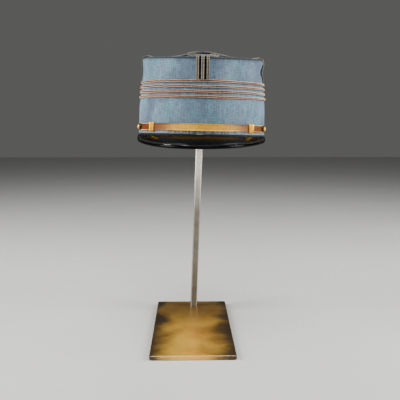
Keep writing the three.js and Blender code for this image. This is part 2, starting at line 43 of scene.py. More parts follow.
# Cap, in millimetres, as in the part's source
CAP_WIDTH = 163.0
CAP_LENGTH = 204.0
FRONT_HEIGHT = 88.6
BACK_HEIGHT = 105.6
CLOTH = 2.0
EDGE_RADIUS = 5.0
SIDE_DENT = 4.0
DENT_ANGLE = 82.0
DENT_SPREAD = 14.0
TOP_LIFT = 7.0
SEAM_GAP = 0.3
LAY_GAP = 0.3

GALON_COUNT = 4
LOWEST_GALON = 42.6
GALON_PITCH = 5.97
GALON_BACK_RISE = 5.6
BRAID_WIDTH = 3.4
BRAID_HEIGHT = 1.5
UPRIGHT_WIDTH = 4.0
UPRIGHT_PITCH = 6.3
SIDE_SET_BACK = 7.0
TAPE = 0.5
KNOT_REACH = 0.54
KNOT_PITCH = 3.9
KNOT_FIRST = 0.42
KNOT_THIRD = 0.58
KNOT_WEAVE = 0.8
KNOT_SWING = 3.0
KNOT_GAP = 0.65

STRAP_WIDTH = 8.6
STRAP = 1.0
STRAP_HEIGHT = 7.7
TAB = 0.9
KEEPER_ANGLES = {"left": 45.9, "right": 45.6}
KEEPER_LENGTH = 8.6
KEEPER = 0.9
KEEPER_OVERLAP = 0.7
BUTTON_ANGLE = 64.5
BUTTON_RADIUS = 4.4
BUTTON_RIM = 0.7
BUTTON_DOME = 3.3
DOME_RADIUS = 3.3

PEAK_REACH = 42.0
PEAK_END_ANGLE = 71.0
PEAK_END_MARGIN = 1.2
PEAK_DROP = 14.3
PEAK_END_DROP = 3.2
PEAK_DROP_POWER = 0.6
PEAK = 2.2
PEAK_CROWN = 1.8
BINDING_WIDTH = 3.4
BINDING_HEIGHT = 3.8

# Where the cap sits on the stand
PLATE_WIDTH = 93.0
PLATE_DEPTH = 208.0
PLATE = 5.0
POST_FROM_BACK = 20.0
POST_FROM_MIDDLE = 2.6
POST_LEAN = 2.0
CAP_RAISE = 231.0
CAP_SLIP = 2.5
CAP_TILT = 1.2
CAP_TURN = 1.4

BAND_ROWS = {
    "up": (0, 0.55, 0.72, 1),
    "width": (1, 0.994, 0.98, 0.957),
    "length": (1, 0.992, 0.975, 0.955),
}
SIDE_ROWS = {
    "up": (0, 0.36, 0.58, 1),
    "width": (0.957, 0.948, 0.946, 0.951),
    "length": (0.955, 0.943, 0.937, 0.93),
    "dent": (0, 0.25, 1, 0),
}
TOP_ROWS = {
    "out": (0, 0.15, 0.3, 0.45, 0.62, 0.85, 1),
    "lift": (1, 0.85, 0.5, 0.08, -0.2, -0.26, 0),
}

CAP_PLACE = (
    Matrix.Translation(
        (
            POST_FROM_MIDDLE + math.tan(math.radians(POST_LEAN)) * CAP_RAISE + CAP_SLIP,
            PLATE_DEPTH / 2 - POST_FROM_BACK,
            PLATE + CAP_RAISE,
        )
    )
    @ Matrix.Rotation(math.radians(CAP_TILT), 4, "Y")
    @ Matrix.Rotation(math.radians(-CAP_TURN), 4, "Z")
)
CAP_MIDDLE = CAP_PLACE @ Vector((0.0, 0.0, 45.0)) * MM


# Surfaces of the cap, in its own frame, in millimetres.
# An angle runs from the front round by +X, in degrees.


def sin(angle):
    return np.sin(np.radians(angle))


def cos(angle):
    return np.cos(np.radians(angle))


def blur_table(rows, key, at, column, reach):
    """A column of a table with its corners rounded off over the given reach."""
    offsets = np.linspace(-reach, reach, 7)
    values = [np.interp(np.asarray(at) + offset, rows[key], rows[column]) for offset in offsets]
    return np.mean(values, axis=0)


def back_share(angle):
    return (1 - cos(angle)) / 2


def top_height(angle):
    return FRONT_HEIGHT + (BACK_HEIGHT - FRONT_HEIGHT) * back_share(angle)


def galon_height(number, angle):
    return LOWEST_GALON + (number - 1) * GALON_PITCH + GALON_BACK_RISE * back_share(angle)


def seam_height(angle):
    return galon_height(GALON_COUNT, angle)


def soft_wave(angle, height, size, seed):
    """A gentle unevenness of hand-made cloth, the same every time."""
    wave = (
        np.sin(np.radians(angle) * 3 + seed * 1.7 + height * 0.031)
        + 0.7 * np.sin(np.radians(angle) * 7 - seed * 2.3 + height * 0.053)
        + 0.5 * np.sin(np.radians(angle) * 13 + seed * 0.9 - height * 0.11)
        + 0.35 * np.sin(np.radians(angle) * 23 + seed * 3.1 + height * 0.19)
    )
    return size * wave / 2.5


def wall(angle, height, out=0.0):
    """A point of the wall's outer face moved out, with the directions out of it and along it."""
    angle, height = np.broadcast_arrays(np.asarray(angle, float), np.asarray(height, float))
    seam = seam_height(angle)
    wall_top = top_height(angle) - EDGE_RADIUS
    band_up = np.clip(height / seam, 0, 1)
    side_up = np.clip((height - seam) / (wall_top - seam), 0, 1)
    in_band = height <= seam
    reach = 0.09
    half = []
    for column, size in (("width", CAP_WIDTH / 2), ("length", CAP_LENGTH / 2)):
        low = blur_table(BAND_ROWS, "up", band_up, column, reach)
        high = blur_table(SIDE_ROWS, "up", side_up, column, reach)
        half.append(size * np.where(in_band, low, high))
    dent = SIDE_DENT * np.exp(-(((angle - DENT_ANGLE) / DENT_SPREAD) ** 2))
    dent = dent * np.where(in_band, 0, blur_table(SIDE_ROWS, "up", side_up, "dent", 0.07))
    normal = np.stack([half[1] * sin(angle), -half[0] * cos(angle), np.zeros_like(angle)], -1)
    normal /= np.linalg.norm(normal, axis=-1, keepdims=True)
    origin = np.stack([half[0] * sin(angle), -half[1] * cos(angle), height], -1)
    origin += normal * (out - dent + soft_wave(angle, height, 0.22, 1))[..., None]
    along = np.stack([-normal[..., 1], normal[..., 0], np.zeros_like(angle)], -1)
    return origin, normal, along


def edge(angle, turned, out=0.0):
    """The edge of the crown, turned over from the wall at 0 to the top at 90."""
    angle, turned = np.broadcast_arrays(np.asarray(angle, float), np.asarray(turned, float))
    foot, flat, along = wall(angle, top_height(angle) - EDGE_RADIUS)
    normal = flat * cos(turned)[..., None]
    normal[..., 2] = sin(turned)
    origin = foot - flat * EDGE_RADIUS + normal * np.asarray(EDGE_RADIUS + out)[..., None]
    return origin, normal, along


TOP_HALF_WIDTH = CAP_WIDTH / 2 * SIDE_ROWS["width"][-1] - EDGE_RADIUS - SEAM_GAP
TOP_HALF_LENGTH = CAP_LENGTH / 2 * SIDE_ROWS["length"][-1] - EDGE_RADIUS - SEAM_GAP


def top_surface(x, y):
    out = np.hypot(x / TOP_HALF_WIDTH, y / TOP_HALF_LENGTH)
    slope = (BACK_HEIGHT - FRONT_HEIGHT) / 2 * (y / TOP_HALF_LENGTH)
    lift = TOP_LIFT * blur_table(TOP_ROWS, "out", out, "lift", 0.05)
    return (FRONT_HEIGHT + BACK_HEIGHT) / 2 + slope + lift


TOP_SLOPE = (BACK_HEIGHT - FRONT_HEIGHT) / (2 * TOP_HALF_LENGTH)


# Meshes


def new_piece(name, points, faces, uvs=None):
    """A smooth mesh from points in millimetres, put in its place on the stand, in metres."""
    points = np.asarray(points, float).reshape(-1, 3)
    matrix = np.array(CAP_PLACE)
    placed = (points @ matrix[:3, :3].T + matrix[:3, 3]) * MM
    mesh = bpy.data.meshes.new(name)
    mesh.from_pydata(placed.tolist(), [], [tuple(int(i) for i in face) for face in faces])
    if uvs is not None:
        layer = mesh.uv_layers.new(name="run")
        flat = np.array([uv for face in uvs for uv in face], float).reshape(-1)
        layer.data.foreach_set("uv", flat)
    mesh.polygons.foreach_set("use_smooth", [True] * len(mesh.polygons))
    mesh.update()
    piece = bpy.data.objects.new(name, mesh)
    bpy.context.scene.collection.objects.link(piece)
    return piece


def skin(name, grid, run_u, run_v, wrap_u=False, wrap_v=False, caps=False):
    """A surface over a grid of points [u][v], with its UV map in metres of run."""
    grid = np.asarray(grid, float)
    count_u, count_v = grid.shape[:2]
    run_u = np.asarray(run_u, float)
    run_v = np.asarray(run_v, float)
    faces = []
    uvs = []
    for i in range(count_u if wrap_u else count_u - 1):
        i2 = (i + 1) % count_u
        u1 = run_u[i]
        u2 = run_u[i + 1]
        for j in range(count_v if wrap_v else count_v - 1):
            j2 = (j + 1) % count_v
            faces.append((i * count_v + j, i2 * count_v + j, i2 * count_v + j2, i * count_v + j2))
            uvs.append(((u1, run_v[j]), (u2, run_v[j]), (u2, run_v[j + 1]), (u1, run_v[j + 1])))
    if caps:
        first = list(range(count_v))
        last = [(count_u - 1) * count_v + j for j in range(count_v)]
        faces += [first[::-1], last]
        uvs += [[(run_u[0], run_v[j]) for j in first[::-1]], [(run_u[-1], run_v[j]) for j in first]]
    piece = new_piece(name, grid, faces, uvs)
    face_out(piece)
    return piece


def face_out(piece):
    """Turns the faces of a closed shell outwards."""
    shell = bmesh.new()
    shell.from_mesh(piece.data)
    if shell.calc_volume(signed=True) < 0:
        bmesh.ops.reverse_faces(shell, faces=shell.faces)
    shell.to_mesh(piece.data)
    shell.free()


def runs(points):
    """The distance run along a row of points, in metres."""
    steps = np.linalg.norm(np.diff(points, axis=0), axis=1)
    return np.concatenate([[0], np.cumsum(steps)]) * MM


def shade_by(piece, name, values):
    """Keeps a value for each vertex, which a material can read."""
    layer = piece.data.attributes.new(name, "FLOAT", "POINT")
    layer.data.foreach_set("value", np.asarray(values, float).reshape(-1))


def shade_by_facing(piece):
    """Keeps how far each vertex faces up, from -1 to 1, for the painted highlight on top and the painted
    shade below.
    """
    normals = np.empty(len(piece.data.vertices) * 3)
    piece.data.vertex_normals.foreach_get("vector", normals)
    shade_by(piece, "facing", normals.reshape(-1, 3)[:, 2])


def sweep(name, section, origins, across, out, wrap=False):
    """A section (pairs of across and out) carried along a row of points."""
    section = np.asarray(section, float)
    origins = np.asarray(origins, float)
    grid = (
        origins[:, None]
        + np.asarray(across)[:, None] * section[None, :, :1]
        + np.asarray(out)[:, None] * section[None, :, 1:2]
    )
    ends = np.concatenate([origins, origins[:1]]) if wrap else origins
    rim = np.concatenate([section, section[:1]])
    return skin(name, grid, runs(ends), runs(rim), wrap, True, not wrap)


def two_ribs(width, height, seat):
    """Half-round ribs side by side on a flat back, with a groove between them."""
    rib = width / 4
    points = [(-width / 2, seat), (width / 2, seat)]
    for middle in (rib, -rib):
        for turned in (15, 45, 75, 105, 135, 165):
            x = middle + rib * math.cos(math.radians(turned))
            z = seat + height * (0.35 + 0.65 * math.sin(math.radians(turned)))
            points.append((x, z))
    return points


# Cloth


def hem(low, high, count):
    """A closed way round a wall of cloth, up the outside and down the inside: heights and how far out."""
    round_off = CLOTH / 2
    turns = np.radians(np.linspace(0, 180, 7))
    up = np.linspace(low + round_off, high - round_off, count)
    over = high - round_off + round_off * np.sin(turns[1:-1])
    under = low + round_off - round_off * np.sin(turns[1:-1])
    heights = np.concatenate([up, over, up[::-1], under])
    out = np.concatenate(
        [
            np.zeros(count),
            -round_off + round_off * np.cos(turns[1:-1]),
            np.full(count, -CLOTH),
            -round_off - round_off * np.cos(turns[1:-1]),
        ]
    )
    return heights, out


ROUND = np.linspace(0, 360, 361)[:-1]
HALF_DEGREES = np.linspace(0, 360, 721)[:-1]
BAND_STEPS = 30
SIDE_STEPS = 26


def closed_wall(name, grid, at_height):
    girth = runs(wall(np.linspace(0, 360, 361), at_height)[0])
    return skin(name, grid, girth, runs(np.concatenate([grid[0], grid[0][:1]])), True, True)


def cloth_band():
    count = BAND_STEPS
    grid = []
    for angle in ROUND:
        heights, out = hem(0.0, seam_height(angle) - SEAM_GAP / 2, count)
        grid.append(wall(angle, heights, out)[0])
    piece = closed_wall("band_cloth", grid, 20)
    row = np.zeros(2 * count + 10)
    row[:3] = (1, 0.7, 0.25)
    row[-7:] = (0.4, 0.8, 1, 1, 1, 1, 1)
    shade_by(piece, "wear", np.tile(row, (len(ROUND), 1)))
    frayed = np.zeros(2 * count + 10)
    frayed[:4] = (1, 1, 0.8, 0.2)
    towards_front = 0.15 + 0.65 * np.clip(2 * cos(ROUND) - 0.4, 0, 1)
    shade_by(piece, "frayed", towards_front[:, None] * frayed)
    # Near black along the band's foot, where it meets the peak: painted shade.
    painted_cloth_shade = np.zeros(2 * count + 10)
    painted_cloth_shade[:4] = (0.4, 0.4, 0.25, 0.08)
    shade_by(piece, "painted_cloth_shade", np.tile(painted_cloth_shade, (len(ROUND), 1)))
    return piece


EDGE_TURNS = np.array((12, 24, 36, 48, 60, 72, 84, 90))


def cloth_side():
    grid = []
    for angle in ROUND:
        low = seam_height(angle) + SEAM_GAP / 2
        heights = np.linspace(low, top_height(angle) - EDGE_RADIUS, SIDE_STEPS)
        outer = np.concatenate([wall(angle, heights)[0], edge(angle, EDGE_TURNS)[0]])
        inner = np.concatenate(
            [wall(angle, heights, -CLOTH)[0], edge(angle, EDGE_TURNS, -CLOTH)[0]]
        )
        grid.append(np.concatenate([outer, inner[::-1]]))
    piece = closed_wall("side_cloth", grid, 70)
    row = np.zeros(2 * (SIDE_STEPS + len(EDGE_TURNS)))
    row[20:25] = (0.1, 0.3, 0.4, 0.3, 0.1)
    shade_by(piece, "wear", np.tile(row, (len(ROUND), 1)))
    # Near black along the turned top edge: painted shade.
    painted_cloth_shade = np.zeros(2 * (SIDE_STEPS + len(EDGE_TURNS)))
    painted_cloth_shade[25:34] = (0.1, 0.25, 0.5, 0.85, 1, 1, 1, 1, 1)
    shade_by(piece, "painted_cloth_shade", np.tile(painted_cloth_shade, (len(ROUND), 1)))
    return piece


def cloth_top():
    """The oval top: rings of points from the rim to a single point in the middle, above and below."""
    outs = np.concatenate([np.linspace(0.03, 0.96, 36), [0.985, 1.0]])
    around = np.linspace(0, 360, 241)[:-1]
    rings = []
    for out in outs:
        x = out * TOP_HALF_WIDTH * sin(around)
        y = -out * TOP_HALF_LENGTH * cos(around)
        z = top_surface(x, y) + soft_wave(around, out * 90, 0.22, 5) * math.sin(out * math.pi)
        rings.append(np.stack([x, y, z], -1))
    upper = np.array(rings)
    lower = upper - np.array((0, 0, CLOTH))
    shells = np.concatenate([upper, lower[::-1]])
    count = len(around)
    middle = top_surface(0.0, 0.0)
    points = np.concatenate([shells.reshape(-1, 3), [(0, 0, middle), (0, 0, middle - CLOTH)]])
    faces = []
    for i in range(len(shells) - 1):
        for j in range(count):
            j2 = (j + 1) % count
            faces.append((i * count + j, i * count + j2, (i + 1) * count + j2, (i + 1) * count + j))
    last = (len(shells) - 1) * count
    for j in range(count):
        j2 = (j + 1) % count
        faces.append((len(points) - 2, j2, j))
        faces.append((len(points) - 1, last + j, last + j2))
    uvs = [[(points[k][0] * MM, points[k][1] * MM) for k in face] for face in faces]
    piece = new_piece("top_cloth", points, faces, uvs)
    face_out(piece)
    # Near black round the middle under the knot and at the rim: painted shade.
    under_knot = 0.7 * np.clip((0.5 - outs) / 0.2, 0, 1)
    painted_cloth_shade = 0.75 * np.maximum(under_knot, np.clip((outs - 0.94) / 0.03, 0, 1))
    painted_cloth_shade = np.repeat(np.concatenate([painted_cloth_shade, painted_cloth_shade[::-1]]), count)
    shade_by(piece, "painted_cloth_shade", np.concatenate([painted_cloth_shade, [0.55, 0.55]]))
    return piece


# Ways that the braids take


def galon_line(number):
    """The way of a level braid: a little uneven, as it was sewn on by hand."""
    angles = HALF_DEGREES
    kink = 0.0
    if number == GALON_COUNT - 1:
        kink = -0.8 * np.exp(-(((angles - 328) / 3.2) ** 2))
    heights = galon_height(number, angles) + soft_wave(angles, 0, 0.42, number * 2) + kink
    origins, out, _ = wall(angles, heights)
    across = np.tile((0.0, 0.0, 1.0), (len(angles), 1))
    return origins, across, out


def upright_line(middle, towards, aside):
    """The way of an upright braid: up the side, over the edge and in along the top to the knot."""
    lengthways = towards % 180 == 0
    sideways = CAP_WIDTH / 2 if lengthways else CAP_LENGTH / 2
    angle = middle + math.degrees(math.asin(aside / sideways))
    foot = float(seam_height(angle)) + BRAID_WIDTH / 2 + SEAM_GAP
    heights = np.linspace(foot, float(top_height(angle)) - EDGE_RADIUS, 16)
    w_origin, w_out, w_along = wall(angle, heights)
    e_origin, e_out, e_along = edge(angle, EDGE_TURNS)
    half = TOP_HALF_LENGTH if lengthways else TOP_HALF_WIDTH
    knot_edge = half * KNOT_REACH + 1.5 * KNOT_PITCH + LAY_GAP
    inwards = np.array((-float(sin(towards)), float(cos(towards)), 0.0))
    along = np.array((inwards[1], -inwards[0], 0.0))
    from_middle = float((e_origin[-1] - edge(middle, 90)[0]) @ along)
    end = along * from_middle - inwards * knot_edge
    t_origin = e_origin[-1] + (end - e_origin[-1]) * np.linspace(0.08, 1, 13)[:, None]
    t_origin[:, 2] = top_surface(t_origin[:, 0], t_origin[:, 1])
    lift = np.tile((0.0, 0.0, 1.0), (13, 1))
    origins = np.concatenate([w_origin, e_origin, t_origin])
    out = np.concatenate([w_out, e_out, lift])
    across = np.concatenate([w_along, e_along, np.tile(along, (13, 1))])
    across[1:, 2] = TOP_SLOPE * across[1:, 1]
    return origins, across, out


def knot_line(offset):
    """The way of one of the knot's three braids, offset from the middle one."""
    turns = np.linspace(0, 2 * math.pi, 481)[:-1]
    wide = KNOT_REACH * TOP_HALF_WIDTH
    long = KNOT_REACH * TOP_HALF_LENGTH
    x = wide * (KNOT_FIRST * np.sin(turns) - KNOT_THIRD * np.sin(3 * turns))
    y = -long * (KNOT_FIRST * np.cos(turns) + KNOT_THIRD * np.cos(3 * turns))
    dx = wide * (KNOT_FIRST * np.cos(turns) - 3 * KNOT_THIRD * np.cos(3 * turns))
    dy = long * (KNOT_FIRST * np.sin(turns) + 3 * KNOT_THIRD * np.sin(3 * turns))
    sideways = np.stack([-dy, dx], -1) / np.hypot(dx, dy)[:, None]
    x = x + sideways[:, 0] * offset
    y = y + sideways[:, 1] * offset
    over = np.clip(KNOT_SWING * np.sin(4 * turns), -1, 1)
    z = top_surface(x, y) + KNOT_WEAVE * (1 + over) / 2
    half = BRAID_WIDTH / 2
    left = top_surface(x - sideways[:, 0] * half, y - sideways[:, 1] * half)
    right = top_surface(x + sideways[:, 0] * half, y + sideways[:, 1] * half)
    across = np.concatenate([sideways, ((right - left) / BRAID_WIDTH)[:, None]], 1)
    across /= np.linalg.norm(across, axis=1, keepdims=True)
    lift = np.tile((0.0, 0.0, 1.0), (len(turns), 1))
    return np.stack([x, y, z], -1), across, lift


def plaited(name, line, width, height, seat, step, material, closed=False):
    """A flat braid: two cores under a plait of small leaning lobes."""
    origins, across, out = line
    core = sweep(name, two_ribs(width - 0.5, height - 0.25, seat), origins, across, out, closed)
    core.data.materials.append(material)
    # The cores take the braid's darkest tone: painted shade down in the plait between the lobes.
    shade_by(core, "painted_shade", np.ones(len(core.data.vertices)))
    lobes = lay_lobes(
        name + "_plait",
        origins,
        out,
        material,
        closed,
        step=step * MM,
        lobe_length=width * 0.5 * MM,
        lobe_width=step * 0.66 * MM,
        lobe_height=height * 0.42 * MM,
        lean=math.radians(48),
        aside=width * 0.265 * MM,
        raise_=(seat + height * 0.8) * MM,
        two_rows=True,
    )
    piece = joined(core, lobes)
    shade_by_facing(piece)
    return piece


def joined(*parts):
    """One piece out of several, with their materials kept."""
    shell = bmesh.new()
    first = parts[0]
    slots = [material.name for material in first.data.materials]
    for part in parts[1:]:
        for material in part.data.materials:
            if material.name not in slots:
                slots.append(material.name)
                first.data.materials.append(material)
    shell.from_mesh(first.data)
    for part in parts[1:]:
        before = len(shell.faces)
        shell.from_mesh(part.data)
        shell.faces.ensure_lookup_table()
        places = [slots.index(material.name) for material in part.data.materials] or [0]
        for face in shell.faces[before:]:
            face.material_index = places[min(face.material_index, len(places) - 1)]
    shell.to_mesh(first.data)
    shell.free()
    for part in parts[1:]:
        bpy.data.objects.remove(part)
    return first


# Small lobes set along a path, in Geometry Nodes


def add_node(tree, kind, **settings):
    node = tree.nodes.new(kind)
    for key, value in settings.items():
        setattr(node, key, value)
    return node


def lobe_row(tree, enter, spaced, out, way):
    """One row of lobes on the spaced path: way is 1 for one side of it and -1 for the other."""
    link = tree.links.new
    tangent = add_node(tree, "GeometryNodeInputTangent")
    sideways = add_node(tree, "ShaderNodeVectorMath", operation="CROSS_PRODUCT")
    link(out, sideways.inputs[0])
    link(tangent.outputs["Tangent"], sideways.inputs[1])
    distance = add_node(tree, "ShaderNodeMath", operation="MULTIPLY")
    distance.inputs[1].default_value = way
    link(enter.outputs["Aside"], distance.inputs[0])
    aside = add_node(tree, "ShaderNodeVectorMath", operation="SCALE")
    link(sideways.outputs["Vector"], aside.inputs[0])
    link(distance.outputs["Value"], aside.inputs["Scale"])
    raised = add_node(tree, "ShaderNodeVectorMath", operation="SCALE")
    link(out, raised.inputs[0])
    link(enter.outputs["Raise"], raised.inputs["Scale"])
    offset = add_node(tree, "ShaderNodeVectorMath", operation="ADD")
    link(aside.outputs["Vector"], offset.inputs[0])
    link(raised.outputs["Vector"], offset.inputs[1])
    moved = add_node(tree, "GeometryNodeSetPosition")
    link(spaced, moved.inputs["Geometry"])
    link(offset.outputs["Vector"], moved.inputs["Offset"])
    facing = add_node(tree, "FunctionNodeAxesToRotation", primary_axis="Z", secondary_axis="X")
    link(out, facing.inputs["Primary Axis"])
    link(tangent.outputs["Tangent"], facing.inputs["Secondary Axis"])
    lean = add_node(tree, "ShaderNodeMath", operation="MULTIPLY")
    lean.inputs[1].default_value = way
    link(enter.outputs["Lean"], lean.inputs[0])
    lean_axis = add_node(tree, "ShaderNodeCombineXYZ")
    link(lean.outputs["Value"], lean_axis.inputs["Z"])
    leaning = add_node(tree, "FunctionNodeEulerToRotation")
    link(lean_axis.outputs["Vector"], leaning.inputs["Euler"])
    turned = add_node(tree, "FunctionNodeRotateRotation", rotation_space="LOCAL")
    link(facing.outputs["Rotation"], turned.inputs["Rotation"])
    link(leaning.outputs["Rotation"], turned.inputs["Rotate By"])
    ball = add_node(tree, "GeometryNodeMeshUVSphere")
    ball.inputs["Segments"].default_value = 6
    ball.inputs["Rings"].default_value = 4
    ball.inputs["Radius"].default_value = 0.5
    size = add_node(tree, "ShaderNodeCombineXYZ")
    link(enter.outputs["Lobe Length"], size.inputs["X"])
    link(enter.outputs["Lobe Width"], size.inputs["Y"])
    link(enter.outputs["Lobe Height"], size.inputs["Z"])
    lobes = add_node(tree, "GeometryNodeInstanceOnPoints")
    link(moved.outputs["Geometry"], lobes.inputs["Points"])
    link(ball.outputs["Mesh"], lobes.inputs["Instance"])
    link(turned.outputs["Rotation"], lobes.inputs["Rotation"])
    link(size.outputs["Vector"], lobes.inputs["Scale"])
    return lobes.outputs["Instances"]


def lobe_tree():
    """Sets a rounded lobe at each step of a path, raised, moved aside and leaning from its direction."""
    tree = bpy.data.node_groups.new("lobes_on_path", "GeometryNodeTree")
    link = tree.links.new
    face = tree.interface
    face.new_socket("Geometry", in_out="OUTPUT", socket_type="NodeSocketGeometry")
    face.new_socket("Geometry", in_out="INPUT", socket_type="NodeSocketGeometry")
    for name in ("Step", "Lobe Length", "Lobe Width", "Lobe Height", "Lean", "Aside", "Raise"):
        face.new_socket(name, in_out="INPUT", socket_type="NodeSocketFloat")
    face.new_socket("Two Rows", in_out="INPUT", socket_type="NodeSocketBool")
    face.new_socket("Material", in_out="INPUT", socket_type="NodeSocketMaterial")
    enter = add_node(tree, "NodeGroupInput")
    leave = add_node(tree, "NodeGroupOutput")
    curve = add_node(tree, "GeometryNodeMeshToCurve")
    spaced = add_node(tree, "GeometryNodeResampleCurve", mode="LENGTH")
    out = add_node(tree, "GeometryNodeInputNamedAttribute", data_type="FLOAT_VECTOR")
    out.inputs["Name"].default_value = "out"
    link(enter.outputs["Geometry"], curve.inputs["Mesh"])
    link(curve.outputs["Curve"], spaced.inputs["Curve"])
    link(enter.outputs["Step"], spaced.inputs["Length"])
    rows = [
        lobe_row(tree, enter, spaced.outputs["Curve"], out.outputs["Attribute"], way) for way in (1.0, -1.0)
    ]
    second = add_node(tree, "GeometryNodeSwitch", input_type="GEOMETRY")
    link(enter.outputs["Two Rows"], second.inputs["Switch"])
    link(rows[1], second.inputs["True"])
    both = add_node(tree, "GeometryNodeJoinGeometry")
    link(rows[0], both.inputs["Geometry"])
    link(second.outputs["Output"], both.inputs["Geometry"])
    real = add_node(tree, "GeometryNodeRealizeInstances")
    smooth = add_node(tree, "GeometryNodeSetShadeSmooth")
    finish = add_node(tree, "GeometryNodeSetMaterial")
    link(both.outputs["Geometry"], real.inputs["Geometry"])
    link(real.outputs["Geometry"], smooth.inputs["Geometry"])
    link(smooth.outputs["Geometry"], finish.inputs["Geometry"])
    link(enter.outputs["Material"], finish.inputs["Material"])
    link(finish.outputs["Geometry"], leave.inputs["Geometry"])
    return tree


LOBES = lobe_tree()


def lay_lobes(name, origins, out, material, closed=False, **inputs):
    """A plain mesh of lobes along a row of points in millimetres."""
    matrix = np.array(CAP_PLACE)
    placed = (np.asarray(origins) @ matrix[:3, :3].T + matrix[:3, 3]) * MM
    facing = np.asarray(out) @ matrix[:3, :3].T
    count = len(placed)
    edges = [(i, i + 1) for i in range(count - 1)]
    if closed:
        edges.append((count - 1, 0))
    path = bpy.data.meshes.new(name + "_path")
    path.from_pydata(placed.tolist(), edges, [])
    layer = path.attributes.new("out", "FLOAT_VECTOR", "POINT")
    layer.data.foreach_set("vector", facing.reshape(-1))
    carrier = bpy.data.objects.new(name + "_path", path)
    bpy.context.scene.collection.objects.link(carrier)
    modifier = carrier.modifiers.new("lobes", "NODES")
    modifier.node_group = LOBES
    sockets = {
        item.name: item.identifier
        for item in LOBES.interface.items_tree
        if item.item_type == "SOCKET" and item.in_out == "INPUT"
    }
    for key, value in inputs.items():
        modifier[sockets[key.replace("_", " ").strip().title()]] = value
    modifier[sockets["Material"]] = material
    bpy.context.view_layer.update()
    graph = bpy.context.evaluated_depsgraph_get()
    mesh = bpy.data.meshes.new_from_object(carrier.evaluated_get(graph))
    mesh.name = name
    mesh.materials.clear()
    mesh.materials.append(material)
    mesh.polygons.foreach_set("material_index", [0] * len(mesh.polygons))
    bpy.data.objects.remove(carrier)
    piece = bpy.data.objects.new(name, mesh)
    bpy.context.scene.collection.objects.link(piece)
    return piece


# Chin strap

STRAP_FACE = LAY_GAP + STRAP
TAB_BACK = STRAP_FACE + LAY_GAP
TAB_FACE = TAB_BACK + TAB


def wall_speed(angle):
    """How far the wall runs for each degree at an angle."""
    near, _, _ = wall(np.array((angle - 0.5, angle + 0.5)), STRAP_HEIGHT)
    return float(np.linalg.norm(near[1] - near[0]))


def lace_section(width, back, face):
    """A woven band with a cord along each edge, seen end on."""
    half = width / 2
    cord = face - 0.28
    return [
        (-half + 0.1, back),
        (half - 0.1, back),
        (half, (back + face) / 2),
        (half - 0.12, face - 0.12),
        (half - 0.5, face),
        (half - 0.95, face - 0.08),
        (half - 1.2, cord),
        (half * 0.45, cord + 0.06),
        (0, cord + 0.08),
        (-half * 0.45, cord + 0.06),
        (-half + 1.2, cord),
        (-half + 0.95, face - 0.08),
        (-half + 0.5, face),
        (-half + 0.12, face - 0.12),
        (-half, (back + face) / 2),
    ]


def lace(name, start, end, round_start, round_end, back, face, material, cord_material):
    """A band of gold lace round the wall between two angles, its ends half round or cut straight."""
    radius = STRAP_WIDTH / 2
    past = radius / wall_speed(BUTTON_ANGLE)
    first = start - past if round_start else start
    last = end + past if round_end else end
    angles = np.linspace(first, last, max(24, int(abs(last - first) * 1.4)))
    if round_start:
        angles = np.concatenate([first + past * np.array((0, 0.03, 0.1, 0.22, 0.4, 0.7)), angles])
    if round_end:
        angles = np.concatenate([angles, last - past * np.array((0.7, 0.4, 0.22, 0.1, 0.03, 0))])
    angles = np.unique(np.round(angles, 5))
    origins, out, _ = wall(angles, STRAP_HEIGHT)
    section = np.array(lace_section(STRAP_WIDTH, back, face))
    narrowed = np.ones(len(angles))
    if round_start:
        share = np.clip((angles - first) / past, 0, 1)
        narrowed = np.minimum(narrowed, np.sqrt(1 - (1 - share) ** 2))
    if round_end:
        share = np.clip((last - angles) / past, 0, 1)
        narrowed = np.minimum(narrowed, np.sqrt(1 - (1 - share) ** 2))
    narrowed = np.maximum(narrowed, 0.04)
    up = np.array((0.0, 0.0, 1.0))
    grid = (
        origins[:, None]
        + up * (section[None, :, :1] * narrowed[:, None, None])
        + out[:, None] * section[None, :, 1:2]
    )
    rim = runs(np.concatenate([section, section[:1]]))
    piece = skin(name, grid, runs(origins), rim, False, True, True)
    piece.data.materials.append(material)
    darkened = np.array([0, 0.9, 1, 0.9, 0.4] + [0.0] * 8 + [0.2, 0.5])
    shade_by(piece, "edge", np.tile(darkened, (len(angles), 1)))
    edges = []
    for side in (1, -1):
        line = origins + up * (side * (radius - 0.5) * narrowed)[:, None]
        edges.append(
            lay_lobes(
                f"{name}_cord_{side + 1}",
                line,
                out,
                cord_material,
                step=0.85 * MM,
                lobe_length=1.25 * MM,
                lobe_width=0.5 * MM,
                lobe_height=0.5 * MM,
                lean=math.radians(38 * side),
                raise_=(face - 0.1) * MM,
            )
        )
    return joined(piece, *edges)


